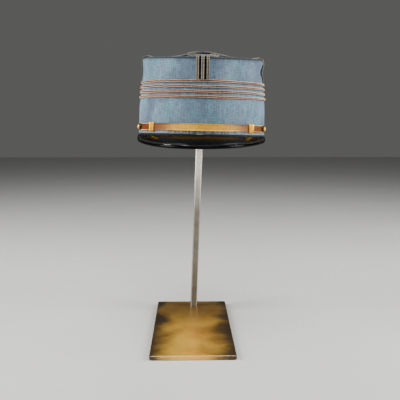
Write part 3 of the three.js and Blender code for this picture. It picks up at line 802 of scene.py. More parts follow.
def keeper(name, side, material):
    """A bright slide over the strap, with a bead along both ends and a leg past each edge of the strap."""
    middle = KEEPER_ANGLES["right" if side > 0 else "left"] * side
    half = KEEPER_LENGTH / 2 / wall_speed(middle)
    share = np.array(
        (-1, -0.985, -0.95, -0.9, -0.84, -0.78, -0.7, -0.4, 0, 0.4, 0.7, 0.78, 0.84, 0.9, 0.95, 0.985, 1),
    )
    bead = 0.3 * np.exp(-(((np.abs(share) - 0.87) / 0.07) ** 2))
    rounded = 0.22 * np.clip((np.abs(share) - 0.93) / 0.07, 0, 1) ** 2
    origins, out, _ = wall(middle + half * share, STRAP_HEIGHT)
    leg_in = STRAP_WIDTH / 2 + LAY_GAP
    leg_out = leg_in + KEEPER_OVERLAP
    under = STRAP_FACE + LAY_GAP
    top = under + KEEPER - 0.25
    inner = [(-leg_in, LAY_GAP), (-leg_in, under), (leg_in, under), (leg_in, LAY_GAP)]
    outer = [
        (leg_out - 0.15, LAY_GAP),
        (leg_out, LAY_GAP + 0.3),
        (leg_out, top - 0.6),
        (leg_out - 0.18, top - 0.2),
        (leg_out - 0.55, top),
        (leg_out * 0.6, top + 0.12),
        (leg_out * 0.3, top + 0.18),
        (0, top + 0.2),
        (-leg_out * 0.3, top + 0.18),
        (-leg_out * 0.6, top + 0.12),
        (-leg_out + 0.55, top),
        (-leg_out + 0.18, top - 0.2),
        (-leg_out, top - 0.6),
        (-leg_out, LAY_GAP + 0.3),
        (-leg_out + 0.15, LAY_GAP),
    ]
    grid = []
    for i in range(len(share)):
        section = np.array(inner + outer, float)
        lift = bead[i] - rounded[i]
        section[len(inner) + 2 : -2, 1] += lift
        grid.append(origins[i] + section[:, :1] * np.array((0, 0, 1.0)) + section[:, 1:] * out[i])
    rim = np.array(inner + outer + inner[:1], float)
    piece = skin(name, grid, runs(origins), runs(rim), False, True, True)
    piece.data.materials.append(material)
    return piece


def button(name, side, material):
    """A domed button with a turned rim, on its shank."""
    back = TAB_FACE + LAY_GAP
    dome = [
        (DOME_RADIUS * math.cos(turned), back + 0.5 + BUTTON_DOME * math.sin(turned))
        for turned in map(math.radians, (0, 14, 26, 38, 50, 60, 70, 78, 84))
    ]
    profile = [
        (1.8, LAY_GAP),
        (1.8, back - 0.25),
        (2.2, back),
        (BUTTON_RADIUS - 0.3, back),
        (BUTTON_RADIUS, back + 0.2),
        (BUTTON_RADIUS - 0.05, back + 0.5),
        (BUTTON_RADIUS - 0.35, back + BUTTON_RIM),
        (DOME_RADIUS + 0.3, back + 0.42),
    ] + dome
    origin, out, along = wall(side * BUTTON_ANGLE, STRAP_HEIGHT)
    up = np.array((0, 0, 1.0))
    count = 48
    rings = []
    for turned in np.radians(np.linspace(0, 360, count + 1)[:-1]):
        way = up * math.sin(turned) + along * math.cos(turned)
        rings.append([origin + way * r + out * h for r, h in profile])
    tip = origin + out * (back + 0.5 + BUTTON_DOME)
    foot = origin + out * LAY_GAP
    points = np.concatenate([np.array(rings).reshape(-1, 3), [tip, foot]])
    faces = []
    rows = len(profile)
    for i in range(count):
        i2 = (i + 1) % count
        for j in range(rows - 1):
            faces.append((i * rows + j, i2 * rows + j, i2 * rows + j + 1, i * rows + j + 1))
        faces.append((i * rows + rows - 1, i2 * rows + rows - 1, len(points) - 2))
        faces.append((i2 * rows, i * rows, len(points) - 1))
    piece = new_piece(name, points, faces)
    face_out(piece)
    piece.data.materials.append(material)
    # The flange and the foot of the dome are marked near black: painted shade on the button's sides and
    # back.
    darkened = [1.0] * (rows - len(dome)) + [1.0, 0.95, 0.7, 0.3] + [0.0] * (len(dome) - 4)
    shade_by(piece, "painted_shade", darkened * count + [0.0, 1.0])
    return piece


# Peak

PEAK_END = wall(PEAK_END_ANGLE, 0.0)[0]


def peak_edge(turn):
    """The middle line of the binding. The turn is 0 at the front and 90 at the right-hand end."""
    turn = np.asarray(turn, float)
    share = cos(turn)
    forward = CAP_LENGTH / 2 + PEAK_REACH + PEAK_END[1]
    x = (PEAK_END[0] + PEAK_END_MARGIN) * sin(turn)
    sag = np.maximum(share, 0) ** PEAK_DROP_POWER
    levelled = x * math.tan(math.radians(CAP_TILT)) * sag
    z = levelled - (PEAK_END_DROP + (PEAK_DROP - PEAK_END_DROP) * sag)
    return np.stack([x, PEAK_END[1] - forward * share, z], -1)


def peak_root(turn):
    root = wall(np.asarray(turn) * PEAK_END_ANGLE / 90, 0.0, -CLOTH / 2)[0]
    root[..., 2] = -SEAM_GAP - PEAK / 2
    return root


def peak_frame(turn):
    """The edge of the peak, with the directions up and out from it and along it."""
    turn = np.asarray(turn, float)
    rim = peak_edge(turn)
    along = peak_edge(np.minimum(turn + 0.5, 90)) - peak_edge(np.maximum(turn - 0.5, -90))
    along /= np.linalg.norm(along, axis=-1, keepdims=True)
    inwards = peak_root(turn) - rim
    up = np.cross(inwards, along)
    up /= np.linalg.norm(up, axis=-1, keepdims=True)
    up *= np.sign(up[..., 2:])
    out = np.cross(along, up)
    out *= -np.sign(np.sum(out * inwards, -1, keepdims=True))
    return rim, up, out, along


PEAK_TURNS = np.linspace(-90, 90, 181)


def peak_face(turn, share, raised=0.0):
    """A point of the leaf, from its root at 0 to the binding at 1."""
    rim, up, out, _ = peak_frame(turn)
    root = peak_root(turn)
    edge_of_leaf = rim - out * (BINDING_WIDTH / 2 + SEAM_GAP)
    bulge = PEAK_CROWN * cos(turn) * 4 * share * (1 - share)
    return root + (edge_of_leaf - root) * share + up * (bulge + raised)[..., None]


def peak_leaf(material):
    shares = np.concatenate([np.linspace(0, 0.97, 22), [0.985, 0.995]])
    half = np.full(len(shares), PEAK / 2)
    half[-2:] = PEAK / 2 * np.array((0.9, 0.55))
    columns = []
    for share, raise_by in zip(shares, half):
        columns.append(peak_face(PEAK_TURNS, share, np.full(len(PEAK_TURNS), raise_by)))
    for share, raise_by in zip(shares[::-1], half[::-1]):
        columns.append(peak_face(PEAK_TURNS, share, np.full(len(PEAK_TURNS), -raise_by)))
    grid = np.stack(columns, 1)
    around = runs(peak_edge(PEAK_TURNS))
    across = runs(np.concatenate([grid[90], grid[90][:1]]))
    piece = skin("peak_leaf", grid, around, across, False, True, True)
    piece.data.materials.append(material)
    under = np.concatenate([np.zeros(len(shares)), np.ones(len(shares))])
    shade_by(piece, "under", np.tile(under, (len(PEAK_TURNS), 1)))
    outwards = np.concatenate([shares, np.zeros(len(shares))])
    shade_by(piece, "outwards", np.tile(outwards, (len(PEAK_TURNS), 1)))
    return piece


def peak_rim(material):
    """The rolled edge of the peak, an oval in section, closed off round at both ends."""
    rim, up, out, _ = peak_frame(PEAK_TURNS)
    turns = np.linspace(0, 360, 25)[:-1]
    grid = []
    for i in range(len(PEAK_TURNS)):
        upwards = up[i] * (BINDING_HEIGHT / 2 * cos(turns))[:, None]
        outwards = out[i] * (BINDING_WIDTH / 2 * sin(turns))[:, None]
        grid.append(rim[i] + (upwards + outwards))
    around = runs(rim)
    across = np.linspace(0, 11, 25) * MM
    piece = skin("peak_rim", grid, around, across, False, True, True)
    piece.data.materials.append(material)
    shade_by(piece, "under", np.zeros(len(PEAK_TURNS) * 24))
    return piece


# Materials

BLENDER_TYPES = {
    "value": "NodeSocketFloat",
    "colour": "NodeSocketColor",
    "vector": "NodeSocketVector",
}


def shader_group(name, inputs, outputs):
    """A group of shader nodes with named sockets."""
    tree = bpy.data.node_groups.new(name, "ShaderNodeTree")
    for label, kind in inputs:
        tree.interface.new_socket(label, in_out="INPUT", socket_type=BLENDER_TYPES[kind])
    for label, kind in outputs:
        tree.interface.new_socket(label, in_out="OUTPUT", socket_type=BLENDER_TYPES[kind])
    return tree, add_node(tree, "NodeGroupInput"), add_node(tree, "NodeGroupOutput")


def feed(tree, socket, value):
    """Links an output to a socket, or sets the socket to a plain value."""
    if isinstance(value, bpy.types.NodeSocket):
        tree.links.new(value, socket)
    else:
        socket.default_value = value


def sum_up(tree, operation, first, second=0.0, third=0.0):
    node = add_node(tree, "ShaderNodeMath", operation=operation)
    for socket, value in zip(node.inputs, (first, second, third)):
        feed(tree, socket, value)
    return node.outputs[0]


def times(tree, first, second):
    return sum_up(tree, "MULTIPLY", first, second)


def scaled(tree, value, factor, added):
    return sum_up(tree, "MULTIPLY_ADD", value, factor, added)


def stretched(tree, vector, amounts):
    node = add_node(tree, "ShaderNodeVectorMath", operation="MULTIPLY")
    feed(tree, node.inputs[0], vector)
    node.inputs[1].default_value = amounts
    return node.outputs[0]


def along_axes(tree, vector):
    """The three parts of a vector."""
    node = add_node(tree, "ShaderNodeSeparateXYZ")
    feed(tree, node.inputs[0], vector)
    return node.outputs


def noise(tree, vector, scale, detail=3.0, rough=0.55):
    node = add_node(tree, "ShaderNodeTexNoise")
    feed(tree, node.inputs["Vector"], vector)
    feed(tree, node.inputs["Scale"], scale)
    node.inputs["Detail"].default_value = detail
    node.inputs["Roughness"].default_value = rough
    return node.outputs["Fac"]


def between(tree, value, low, high, to_low=0.0, to_high=1.0):
    node = add_node(tree, "ShaderNodeMapRange", interpolation_type="SMOOTHSTEP")
    feed(tree, node.inputs["Value"], value)
    for socket, number in zip(node.inputs[1:5], (low, high, to_low, to_high)):
        feed(tree, socket, number)
    return node.outputs["Result"]


def mixed(tree, share, first, second):
    node = add_node(tree, "ShaderNodeMix", data_type="RGBA")
    feed(tree, node.inputs[0], share)
    feed(tree, node.inputs[6], first)
    feed(tree, node.inputs[7], second)
    return node.outputs[2]


def rgb(red, green, blue):
    """A colour as read off a screen, made linear."""
    shares = (red / 255, green / 255, blue / 255)
    linear = [c / 12.92 if c <= 0.04045 else ((c + 0.055) / 1.055) ** 2.4 for c in shares]
    return (*linear, 1.0)


def weave_group():
    """Threads that pass over and under each other, on a map in metres of run."""
    tree, enter, leave = shader_group(
        "woven_threads",
        [("Run", "vector"), ("Threads", "value"), ("Slant", "value"), ("Unevenness", "value")],
        [("Height", "value"), ("Shade", "value")],
    )
    run_u, run_v, _ = along_axes(tree, enter.outputs["Run"])
    waver = noise(tree, enter.outputs["Run"], 260.0, 2.0)
    waver = times(tree, waver, enter.outputs["Unevenness"])
    u = scaled(tree, run_u, enter.outputs["Threads"], waver)
    v = scaled(tree, run_v, enter.outputs["Threads"], waver)
    slanted = times(tree, v, enter.outputs["Slant"])
    along = sum_up(tree, "SINE", times(tree, sum_up(tree, "ADD", u, slanted), math.tau))
    over = sum_up(tree, "SINE", times(tree, v, math.tau))
    crossed = times(tree, along, over)
    height = scaled(tree, crossed, 0.3, scaled(tree, along, 0.2, 0.5))
    streaks = sum_up(
        tree,
        "ADD",
        noise(tree, stretched(tree, enter.outputs["Run"], (1.0, 0.05, 1.0)), 1100.0, 4.0, 0.75),
        noise(tree, stretched(tree, enter.outputs["Run"], (0.08, 1.0, 1.0)), 1500.0, 3.0, 0.7),
    )
    feed(tree, leave.inputs["Height"], height)
    feed(tree, leave.inputs["Shade"], times(tree, streaks, 0.5))
    return tree


def ageing_group():
    """Soft uneven tone from handling, light and dust, on points in metres."""
    tree, enter, leave = shader_group(
        "soft_ageing",
        [("Place", "vector"), ("Size", "value"), ("Depth", "value")],
        [("Tone", "value"), ("Specks", "value")],
    )
    broad = noise(
        tree, enter.outputs["Place"], sum_up(tree, "DIVIDE", 1.0, enter.outputs["Size"]), 4.0, 0.6
    )
    fine = noise(
        tree, enter.outputs["Place"], sum_up(tree, "DIVIDE", 6.0, enter.outputs["Size"]), 3.0, 0.6
    )
    both = scaled(tree, fine, 0.35, times(tree, broad, 0.65))
    centred = sum_up(tree, "SUBTRACT", both, 0.5)
    feed(tree, leave.inputs["Tone"], times(tree, centred, enter.outputs["Depth"]))
    specks = noise(tree, enter.outputs["Place"], 1400.0, 1.0)
    feed(tree, leave.inputs["Specks"], between(tree, specks, 0.7, 0.78))
    return tree


def rubbing_group():
    """Where an edge has been rubbed, broken up unevenly, from a mask and a place in metres."""
    tree, enter, leave = shader_group(
        "rubbed_edges",
        [("Place", "vector"), ("Mask", "value"), ("Amount", "value")],
        [("Rubbed", "value")],
    )
    broken = noise(tree, enter.outputs["Place"], 330.0, 5.0, 0.7)
    level = scaled(tree, enter.outputs["Mask"], 0.55, times(tree, broken, 0.6))
    feed(
        tree,
        leave.inputs["Rubbed"],
        times(tree, between(tree, level, 0.55, 0.95), enter.outputs["Amount"]),
    )
    return tree


def brushed_group():
    """Fine lines of a brushed or handled metal, with smudges, on points in metres."""
    tree, enter, leave = shader_group(
        "brushed_metal",
        [("Place", "vector"), ("Lines", "vector"), ("Smudge Size", "value")],
        [("Line", "value"), ("Smudge", "value"), ("Scratch", "value")],
    )
    spread = add_node(tree, "ShaderNodeVectorMath", operation="MULTIPLY")
    feed(tree, spread.inputs[0], enter.outputs["Place"])
    feed(tree, spread.inputs[1], enter.outputs["Lines"])
    feed(tree, leave.inputs["Line"], noise(tree, spread.outputs[0], 1.0, 3.0, 0.6))
    smudge = noise(
        tree,
        enter.outputs["Place"],
        sum_up(tree, "DIVIDE", 1.0, enter.outputs["Smudge Size"]),
        5.0,
        0.62,
    )
    feed(tree, leave.inputs["Smudge"], between(tree, smudge, 0.35, 0.7))
    fine = noise(tree, stretched(tree, enter.outputs["Place"], (90.0, 900.0, 400.0)), 1.0, 2.0)
    feed(tree, leave.inputs["Scratch"], between(tree, fine, 0.66, 0.72))
    return tree


WEAVE = weave_group()
AGEING = ageing_group()
RUBBING = rubbing_group()
BRUSHED = brushed_group()


def use(tree, group, **values):
    """Places a group in a material with its own values."""
    node = add_node(tree, "ShaderNodeGroup", node_tree=group)
    for label, value in values.items():
        feed(tree, node.inputs[label.replace("_", " ").title()], value)
    return node.outputs


def new_material(name, **constants):
    """A material with its shader, and a place in metres to read patterns from."""
    material = bpy.data.materials.new(name)
    material.use_nodes = True
    tree = material.node_tree
    shader = tree.nodes["Principled BSDF"]
    for label, value in constants.items():
        shader.inputs[label.replace("_", " ").title()].default_value = value
    place = add_node(tree, "ShaderNodeTexCoord").outputs["Object"]
    return material, tree, shader, place


def bump(tree, shader, height, strength, distance):
    node = add_node(tree, "ShaderNodeBump")
    node.inputs["Strength"].default_value = strength
    node.inputs["Distance"].default_value = distance
    feed(tree, node.inputs["Height"], height)
    feed(tree, shader.inputs["Normal"], node.outputs["Normal"])


def mask(tree, name):
    return add_node(tree, "ShaderNodeAttribute", attribute_name=name).outputs["Fac"]


def run_map(tree):
    return add_node(tree, "ShaderNodeUVMap", uv_map="run").outputs["UV"]


def horizon_cloth():
    """Fulled wool in the light grey-blue of the photograph."""
    material, tree, shader, place = new_material(
        "horizon_cloth", sheen_weight=0.15, sheen_roughness=0.4
    )
    shader.inputs["Sheen Tint"].default_value = rgb(196, 218, 236)
    shader.inputs["Specular IOR Level"].default_value = 0.25
    weave = use(tree, WEAVE, run=run_map(tree), threads=1150.0, slant=0.5, unevenness=0.5)
    age = use(tree, AGEING, place=stretched(tree, place, (1.0, 1.0, 0.45)), size=0.03, depth=1.3)
    tone = sum_up(tree, "ADD", between(tree, weave["Shade"], 0.36, 0.64, -0.5, 0.5), age["Tone"])
    thread = scaled(tree, weave["Height"], 0.3, scaled(tree, tone, 0.5, 0.35))
    hue = between(tree, noise(tree, place, 62.0, 3.0, 0.6), 0.38, 0.62)
    light = mixed(tree, hue, rgb(118, 157, 170), rgb(130, 150, 169))
    blue = mixed(tree, between(tree, thread, 0.0, 1.0), rgb(50, 70, 88), light)
    grey = mixed(tree, between(tree, thread, 0.0, 1.0), rgb(44, 56, 72), rgb(108, 126, 146))
    patches = noise(tree, place, 26.0, 3.0, 0.5)
    wool = mixed(tree, between(tree, patches, 0.42, 0.62), blue, grey)
    rubbed = use(tree, RUBBING, place=place, mask=mask(tree, "wear"), amount=0.35)["Rubbed"]
    napless = mixed(tree, rubbed, wool, rgb(160, 174, 184))
    fluff = noise(tree, stretched(tree, place, (1.0, 1.0, 0.5)), 420.0, 4.0, 0.7)
    bare = times(tree, mask(tree, "frayed"), between(tree, fluff, 0.6, 0.66))
    pale = times(tree, mask(tree, "frayed"), between(tree, fluff, 0.54, 0.46))
    hemmed = mixed(tree, times(tree, pale, 0.8), napless, rgb(214, 220, 222))
    ragged = mixed(tree, bare, hemmed, rgb(20, 24, 30))
    # Near black where the mask is set: painted shade along the crown's top edge, round the knot's middle
    # and at the band's foot.
    worn = mixed(tree, mask(tree, "painted_cloth_shade"), ragged, rgb(10, 14, 20))
    feed(
        tree,
        shader.inputs["Base Color"],
        mixed(tree, times(tree, age["Specks"], 0.25), worn, rgb(190, 196, 198)),
    )
    feed(
        tree,
        shader.inputs["Roughness"],
        scaled(tree, rubbed, -0.12, scaled(tree, tone, 0.06, 0.88)),
    )
    height = scaled(tree, weave["Shade"], 1.2, weave["Height"])
    bump(tree, shader, height, 0.55, 0.00012)
    return material


def plaited_thread(name, tones, metallic, roughness, top_highlight, under_shade):
    """Braid thread: fine twisted strands, with painted shade down in the plait and underneath, and painted
    highlights on top and in stretches that grow towards +X.
    """
    painted_shade, dark, light, glow = tones
    material, tree, shader, place = new_material(name)
    age = use(tree, AGEING, place=place, size=0.012, depth=1.2)
    strands = noise(tree, place, 2600.0, 2.0, 0.6)
    share = sum_up(tree, "ADD", scaled(tree, age["Tone"], 0.7, 0.1), times(tree, strands, 0.75))
    thread = mixed(tree, between(tree, share, 0.15, 0.85), dark, light)
    x, _, _ = along_axes(tree, place)
    # Stretches of the brightest tone, more of them towards +X: painted highlight.
    stretches = scaled(tree, x, 3.0, noise(tree, place, 34.0, 2.0))
    highlit_stretches = between(tree, stretches, 0.42, 0.72, 0.15, 0.85)
    rubbed = use(tree, RUBBING, place=place, mask=highlit_stretches, amount=0.9)["Rubbed"]
    worn = mixed(tree, rubbed, thread, glow)
    # Lighter on upward faces and darker on downward faces: painted highlight on top, painted shade below.
    upper = between(tree, mask(tree, "facing"), 0.1, 0.85, 0.0, top_highlight)
    lower = between(tree, mask(tree, "facing"), -0.45, 0.2, under_shade, 0.0)
    shaded = sum_up(tree, "MAXIMUM", lower, times(tree, mask(tree, "painted_shade"), 0.9))
    feed(
        tree,
        shader.inputs["Base Color"],
        mixed(tree, shaded, mixed(tree, upper, worn, glow), painted_shade),
    )
    shader.inputs["Metallic"].default_value = metallic
    feed(tree, shader.inputs["Roughness"], scaled(tree, strands, 0.2, roughness - 0.1))
    bump(tree, shader, strands, 0.4, 0.0001)
    return material


# Near-black tape under the upright braids, showing as the black gaps between them: painted shade.
def gap_shade_tape():
    material, tree, shader, place = new_material("gap_shade_tape")
    shader.inputs["Specular IOR Level"].default_value = 0.15
    weave = use(tree, WEAVE, run=run_map(tree), threads=1400.0, slant=0.0, unevenness=0.2)
    age = use(tree, AGEING, place=place, size=0.01, depth=1.0)
    share = sum_up(tree, "ADD", weave["Height"], age["Tone"])
    feed(
        tree,
        shader.inputs["Base Color"],
        mixed(tree, between(tree, share, 0.1, 1.0), rgb(3, 3, 4), rgb(16, 16, 18)),
    )
    feed(tree, shader.inputs["Roughness"], scaled(tree, age["Tone"], 0.1, 0.8))
    bump(tree, shader, weave["Height"], 0.6, 0.0001)
    return material


def gold_lace(name, highlight_falloff):
    """Lace of gilt thread: a slanted ribbed weave with tarnish in its hollows, brighter in the middle and
    browner towards the sides, a painted highlight.
    """
    material, tree, shader, place = new_material(name, metallic=0.2)
    shader.inputs["Specular IOR Level"].default_value = 0.3
    weave = use(tree, WEAVE, run=run_map(tree), threads=760.0, slant=0.8, unevenness=0.3)
    age = use(tree, AGEING, place=place, size=0.014, depth=1.4)
    share = sum_up(tree, "ADD", times(tree, weave["Height"], 0.8), age["Tone"])
    # Brighter gold in the middle of the cap, browner towards the sides: painted highlight.
    x, _, _ = along_axes(tree, place)
    from_middle = sum_up(tree, "ABSOLUTE", sum_up(tree, "SUBTRACT", x, CAP_MIDDLE.x))
    tarnish = between(tree, from_middle, 0.012, 0.055, 0.0, highlight_falloff)
    bright = mixed(tree, between(tree, share, 0.05, 0.85), rgb(216, 136, 28), rgb(255, 216, 88))
    brown = mixed(tree, between(tree, share, 0.05, 0.85), rgb(70, 34, 4), rgb(132, 66, 2))
    thread = mixed(tree, tarnish, bright, brown)
    rubbed = use(tree, RUBBING, place=place, mask=0.3, amount=0.5)["Rubbed"]
    worn = mixed(tree, rubbed, thread, rgb(236, 184, 90))
    feed(tree, shader.inputs["Base Color"], mixed(tree, mask(tree, "edge"), worn, rgb(66, 40, 16)))
    feed(tree, shader.inputs["Roughness"], scaled(tree, share, -0.15, 0.5))
    bump(tree, shader, weave["Height"], 0.8, 0.0002)
    return material


def gilt():
    """Gilt brass, polished by handling, with small scratches and a little tarnish."""
    material, tree, shader, place = new_material("gilt_brass", metallic=0.75)
    worn = use(tree, BRUSHED, place=place, lines=(500.0, 500.0, 1500.0), smudge_size=0.004)
    tarnish = mixed(tree, worn["Smudge"], rgb(226, 150, 0), rgb(255, 204, 30))
    handled = mixed(tree, worn["Scratch"], tarnish, rgb(255, 216, 88))
    feed(
        # Near black where the mask is set: painted shade on the button's flange and the foot of its dome.
        tree,
        shader.inputs["Base Color"],
        mixed(tree, mask(tree, "painted_shade"), handled, rgb(46, 32, 14)),
    )
    rough = scaled(tree, worn["Line"], 0.14, scaled(tree, worn["Smudge"], -0.1, 0.32))
    feed(tree, shader.inputs["Roughness"], rough)
    bump(tree, shader, worn["Line"], 0.15, 0.00005)
    return material


def patent_leather():
    """Black varnished leather, mirror bright on top, with fine crazing and a duller underside."""
    material, tree, shader, place = new_material("patent_leather", coat_roughness=0.06)
    age = use(tree, AGEING, place=place, size=0.05, depth=1.0)
    grain = noise(tree, place, 700.0, 4.0, 0.6)
    under = mask(tree, "under")
    black = mixed(tree, between(tree, age["Tone"], -0.3, 0.3), rgb(2, 2, 3), rgb(6, 5, 4))
    feed(tree, shader.inputs["Base Color"], mixed(tree, under, black, rgb(30, 34, 28)))
    shader.inputs["Specular IOR Level"].default_value = 0.02
    shader.inputs["Coat IOR"].default_value = 2.3
    x, _, _ = along_axes(tree, place)
    off_middle = sum_up(tree, "SUBTRACT", x, CAP_MIDDLE.x)
    aside = between(tree, sum_up(tree, "ABSOLUTE", off_middle), 0.014, 0.028, 0.05, 1.0)
    swell = times(tree, between(tree, mask(tree, "outwards"), 0.82, 0.94), aside)
    feed(tree, shader.inputs["Coat Weight"], between(tree, swell, 0.0, 1.0, 0.02, 1.0))
    scuffs = use(tree, RUBBING, place=place, mask=0.2, amount=0.5)["Rubbed"]
    rough = scaled(tree, scuffs, 0.25, scaled(tree, under, 0.35, 0.2))
    feed(tree, shader.inputs["Roughness"], scaled(tree, grain, 0.08, rough))
    broad = noise(tree, place, 60.0, 2.0)
    bump(tree, shader, scaled(tree, grain, 0.06, broad), 0.12, 0.0006)
    return material


def sewing_thread(name, dark, light):
    """Sewing thread for the rows of stitches."""
    material, tree, shader, place = new_material(name)
    strands = noise(tree, place, 3000.0, 2.0)
    feed(
        tree,
        shader.inputs["Base Color"],
        mixed(tree, between(tree, strands, 0.3, 0.7), dark, light),
    )
    feed(tree, shader.inputs["Roughness"], scaled(tree, strands, 0.2, 0.5))
    bump(tree, shader, strands, 0.4, 0.00005)
    return material


def brushed_steel(tree, shader, place, lines, smudge_size, edges, tones, roughness):
    """Brushed steel: a clean and a smudged tone, bright rubbed edges and light scratches."""
    worn = use(tree, BRUSHED, place=place, lines=lines, smudge_size=smudge_size)
    clean, smudged, bright = tones
    metal = mixed(tree, worn["Smudge"], clean, smudged)
    rubbed = use(tree, RUBBING, place=place, mask=edges, amount=0.9)["Rubbed"]
    scratched = times(tree, worn["Scratch"], 0.3)
    feed(
        tree,
        shader.inputs["Base Color"],
        mixed(tree, sum_up(tree, "MAXIMUM", rubbed, scratched), metal, bright),
    )
    rough = scaled(tree, worn["Line"], 0.16, roughness)
    feed(tree, shader.inputs["Roughness"], scaled(tree, worn["Smudge"], 0.06, rough))
    bump(tree, shader, worn["Line"], 0.12, 0.00008)


def beyond(tree, distance, start, end):
    """1 where a point lies further from the middle than the end, and 0 nearer than the start."""
    return between(tree, sum_up(tree, "ABSOLUTE", distance), start, end)


def post_steel():
    material, tree, shader, place = new_material("post_steel", metallic=0.5)
    x, y, z = along_axes(tree, place)
    leaning = scaled(tree, z, -math.tan(math.radians(POST_LEAN)), x)
    sideways = sum_up(tree, "SUBTRACT", leaning, POST_FROM_MIDDLE * MM)
    depth = sum_up(tree, "SUBTRACT", y, (PLATE_DEPTH / 2 - POST_FROM_BACK) * MM)
    edges = sum_up(
        tree, "MULTIPLY", beyond(tree, sideways, 0.0026, 0.0035), beyond(tree, depth, 0.0026, 0.0035)
    )
    # Darker towards the foot of the post: painted shade.
    upper = between(tree, z, 0.125, 0.22)
    clean = mixed(tree, upper, rgb(114, 108, 96), rgb(232, 229, 216))
    smudged = mixed(tree, upper, rgb(97, 91, 80), rgb(202, 198, 183))
    rubbed = mixed(tree, upper, rgb(150, 144, 130), rgb(248, 246, 240))
    brushed_steel(
        tree, shader, place, (2600.0, 2600.0, 40.0), 0.02, edges, (clean, smudged, rubbed), 0.3
    )
    return material


def plate_steel():
    material, tree, shader, place = new_material("plate_steel", metallic=0.6)
    x, y, z = along_axes(tree, place)
    half_width = PLATE_WIDTH / 2 * MM
    half_depth = PLATE_DEPTH / 2 * MM
    outline = sum_up(
        tree,
        "MAXIMUM",
        beyond(tree, x, half_width - 0.0015, half_width),
        beyond(tree, y, half_depth - 0.0015, half_depth),
    )
    # Bright along the top arris: partly rubbed wear, partly a painted glint.
    edges = times(tree, outline, between(tree, z, 0.0034, 0.005))
    # Golden in the middle, falling to dark brown at the sides and towards the back: painted reflection.
    gradient_jitter = scaled(tree, noise(tree, place, 24.0, 4.0), 0.06, -0.03)
    from_middle = sum_up(tree, "ADD", sum_up(tree, "ABSOLUTE", x), gradient_jitter)
    aside = between(tree, from_middle, 0.0, half_width)
    rearwards = between(tree, y, -half_depth * 0.5, half_depth * 0.7, 0.0, 0.8)
    reflection_falloff = sum_up(tree, "MAXIMUM", aside, rearwards)
    golden = mixed(tree, reflection_falloff, rgb(255, 198, 72), rgb(74, 56, 30))
    smudged = mixed(tree, reflection_falloff, rgb(226, 158, 56), rgb(56, 42, 24))
    tones = (golden, smudged, rgb(224, 208, 176))
    brushed_steel(tree, shader, place, (1900.0, 26.0, 1900.0), 0.05, edges, tones, 0.24)
    return material


def dress(piece, slot, *nodes):
    """Puts a finished piece in the place of the solids that it stands for."""
    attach(piece, "root")
    if nodes:
        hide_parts(*nodes)


CLOTH_FINISH = horizon_cloth()
# Tones of each braid: painted shade, dark thread, light thread, painted highlight.
ROSE_TONES = (rgb(24, 14, 11), rgb(176, 100, 62), rgb(255, 192, 146), rgb(255, 232, 202))
PALE_TONES = (rgb(10, 9, 9), rgb(92, 86, 76), rgb(188, 178, 160), rgb(232, 222, 204))
KNOT_TONES = (rgb(6, 6, 7), rgb(44, 42, 40), rgb(116, 110, 101), rgb(204, 196, 180))
ROSE = plaited_thread("rose_braid", ROSE_TONES, metallic=0.3, roughness=0.42, top_highlight=0.85, under_shade=1.0)
PALE = plaited_thread("pale_braid", PALE_TONES, metallic=0.15, roughness=0.5, top_highlight=0.3, under_shade=0.7)
# The knot's braid is the pale braid with darker tones: painted shade.
SHADED_KNOT = plaited_thread("shaded_knot_braid", KNOT_TONES, metallic=0.1, roughness=0.6, top_highlight=0.0, under_shade=0.9)
TAPE_FINISH = gap_shade_tape()
LACE = gold_lace("gold_lace", 1.0)
BRIGHT_LACE = gold_lace("bright_gold_lace", 0.0)
GILT = gilt()
PATENT = patent_leather()
BLUE_THREAD = sewing_thread("blue_thread", rgb(70, 84, 98), rgb(128, 144, 158))
BLACK_THREAD = sewing_thread("black_thread", rgb(10, 10, 10), rgb(36, 34, 32))
POST_STEEL = post_steel()
PLATE_STEEL = plate_steel()

# Cloth wall, turned edge and top, with their rows of stitches

band = cloth_band()
band.data.materials.append(CLOTH_FINISH)
low_row, low_out, _ = wall(HALF_DEGREES, 1.7)
band_stitches = lay_lobes(
    "band_stitches",
    low_row,
    low_out,
    BLUE_THREAD,
    True,
    step=3.0 * MM,
    lobe_length=2.3 * MM,
    lobe_width=0.5 * MM,
    lobe_height=0.35 * MM,
    raise_=0.03 * MM,
)
dress(joined(band, band_stitches), "cloth", "band")

side = cloth_side()
side.data.materials.append(CLOTH_FINISH)
turned_row, turned_out, _ = edge(HALF_DEGREES, 64)
edge_stitches = lay_lobes(
    "edge_stitches",
    turned_row,
    turned_out,
    BLUE_THREAD,
    True,
    step=3.2 * MM,
    lobe_length=2.3 * MM,
    lobe_width=0.45 * MM,
    lobe_height=0.3 * MM,
    raise_=0.02 * MM,
)
dress(joined(side, edge_stitches), "cloth", "crown_side")

top = cloth_top()
top.data.materials.append(CLOTH_FINISH)
dress(top, "cloth", "crown_top")

# Braids

for number in range(1, GALON_COUNT + 1):
    galon = plaited(
        f"galon_{number}_braid",
        galon_line(number),
        BRAID_WIDTH,
        BRAID_HEIGHT,
        LAY_GAP,
        1.5,
        ROSE,
        closed=True,
    )
    dress(galon, "galon_braid", f"galon_{number}")

GROUPS = {
    "front": (0, 0),
    "right": (90 + SIDE_SET_BACK, 90),
    "back": (180, 180),
    "left": (270 - SIDE_SET_BACK, 270),
}

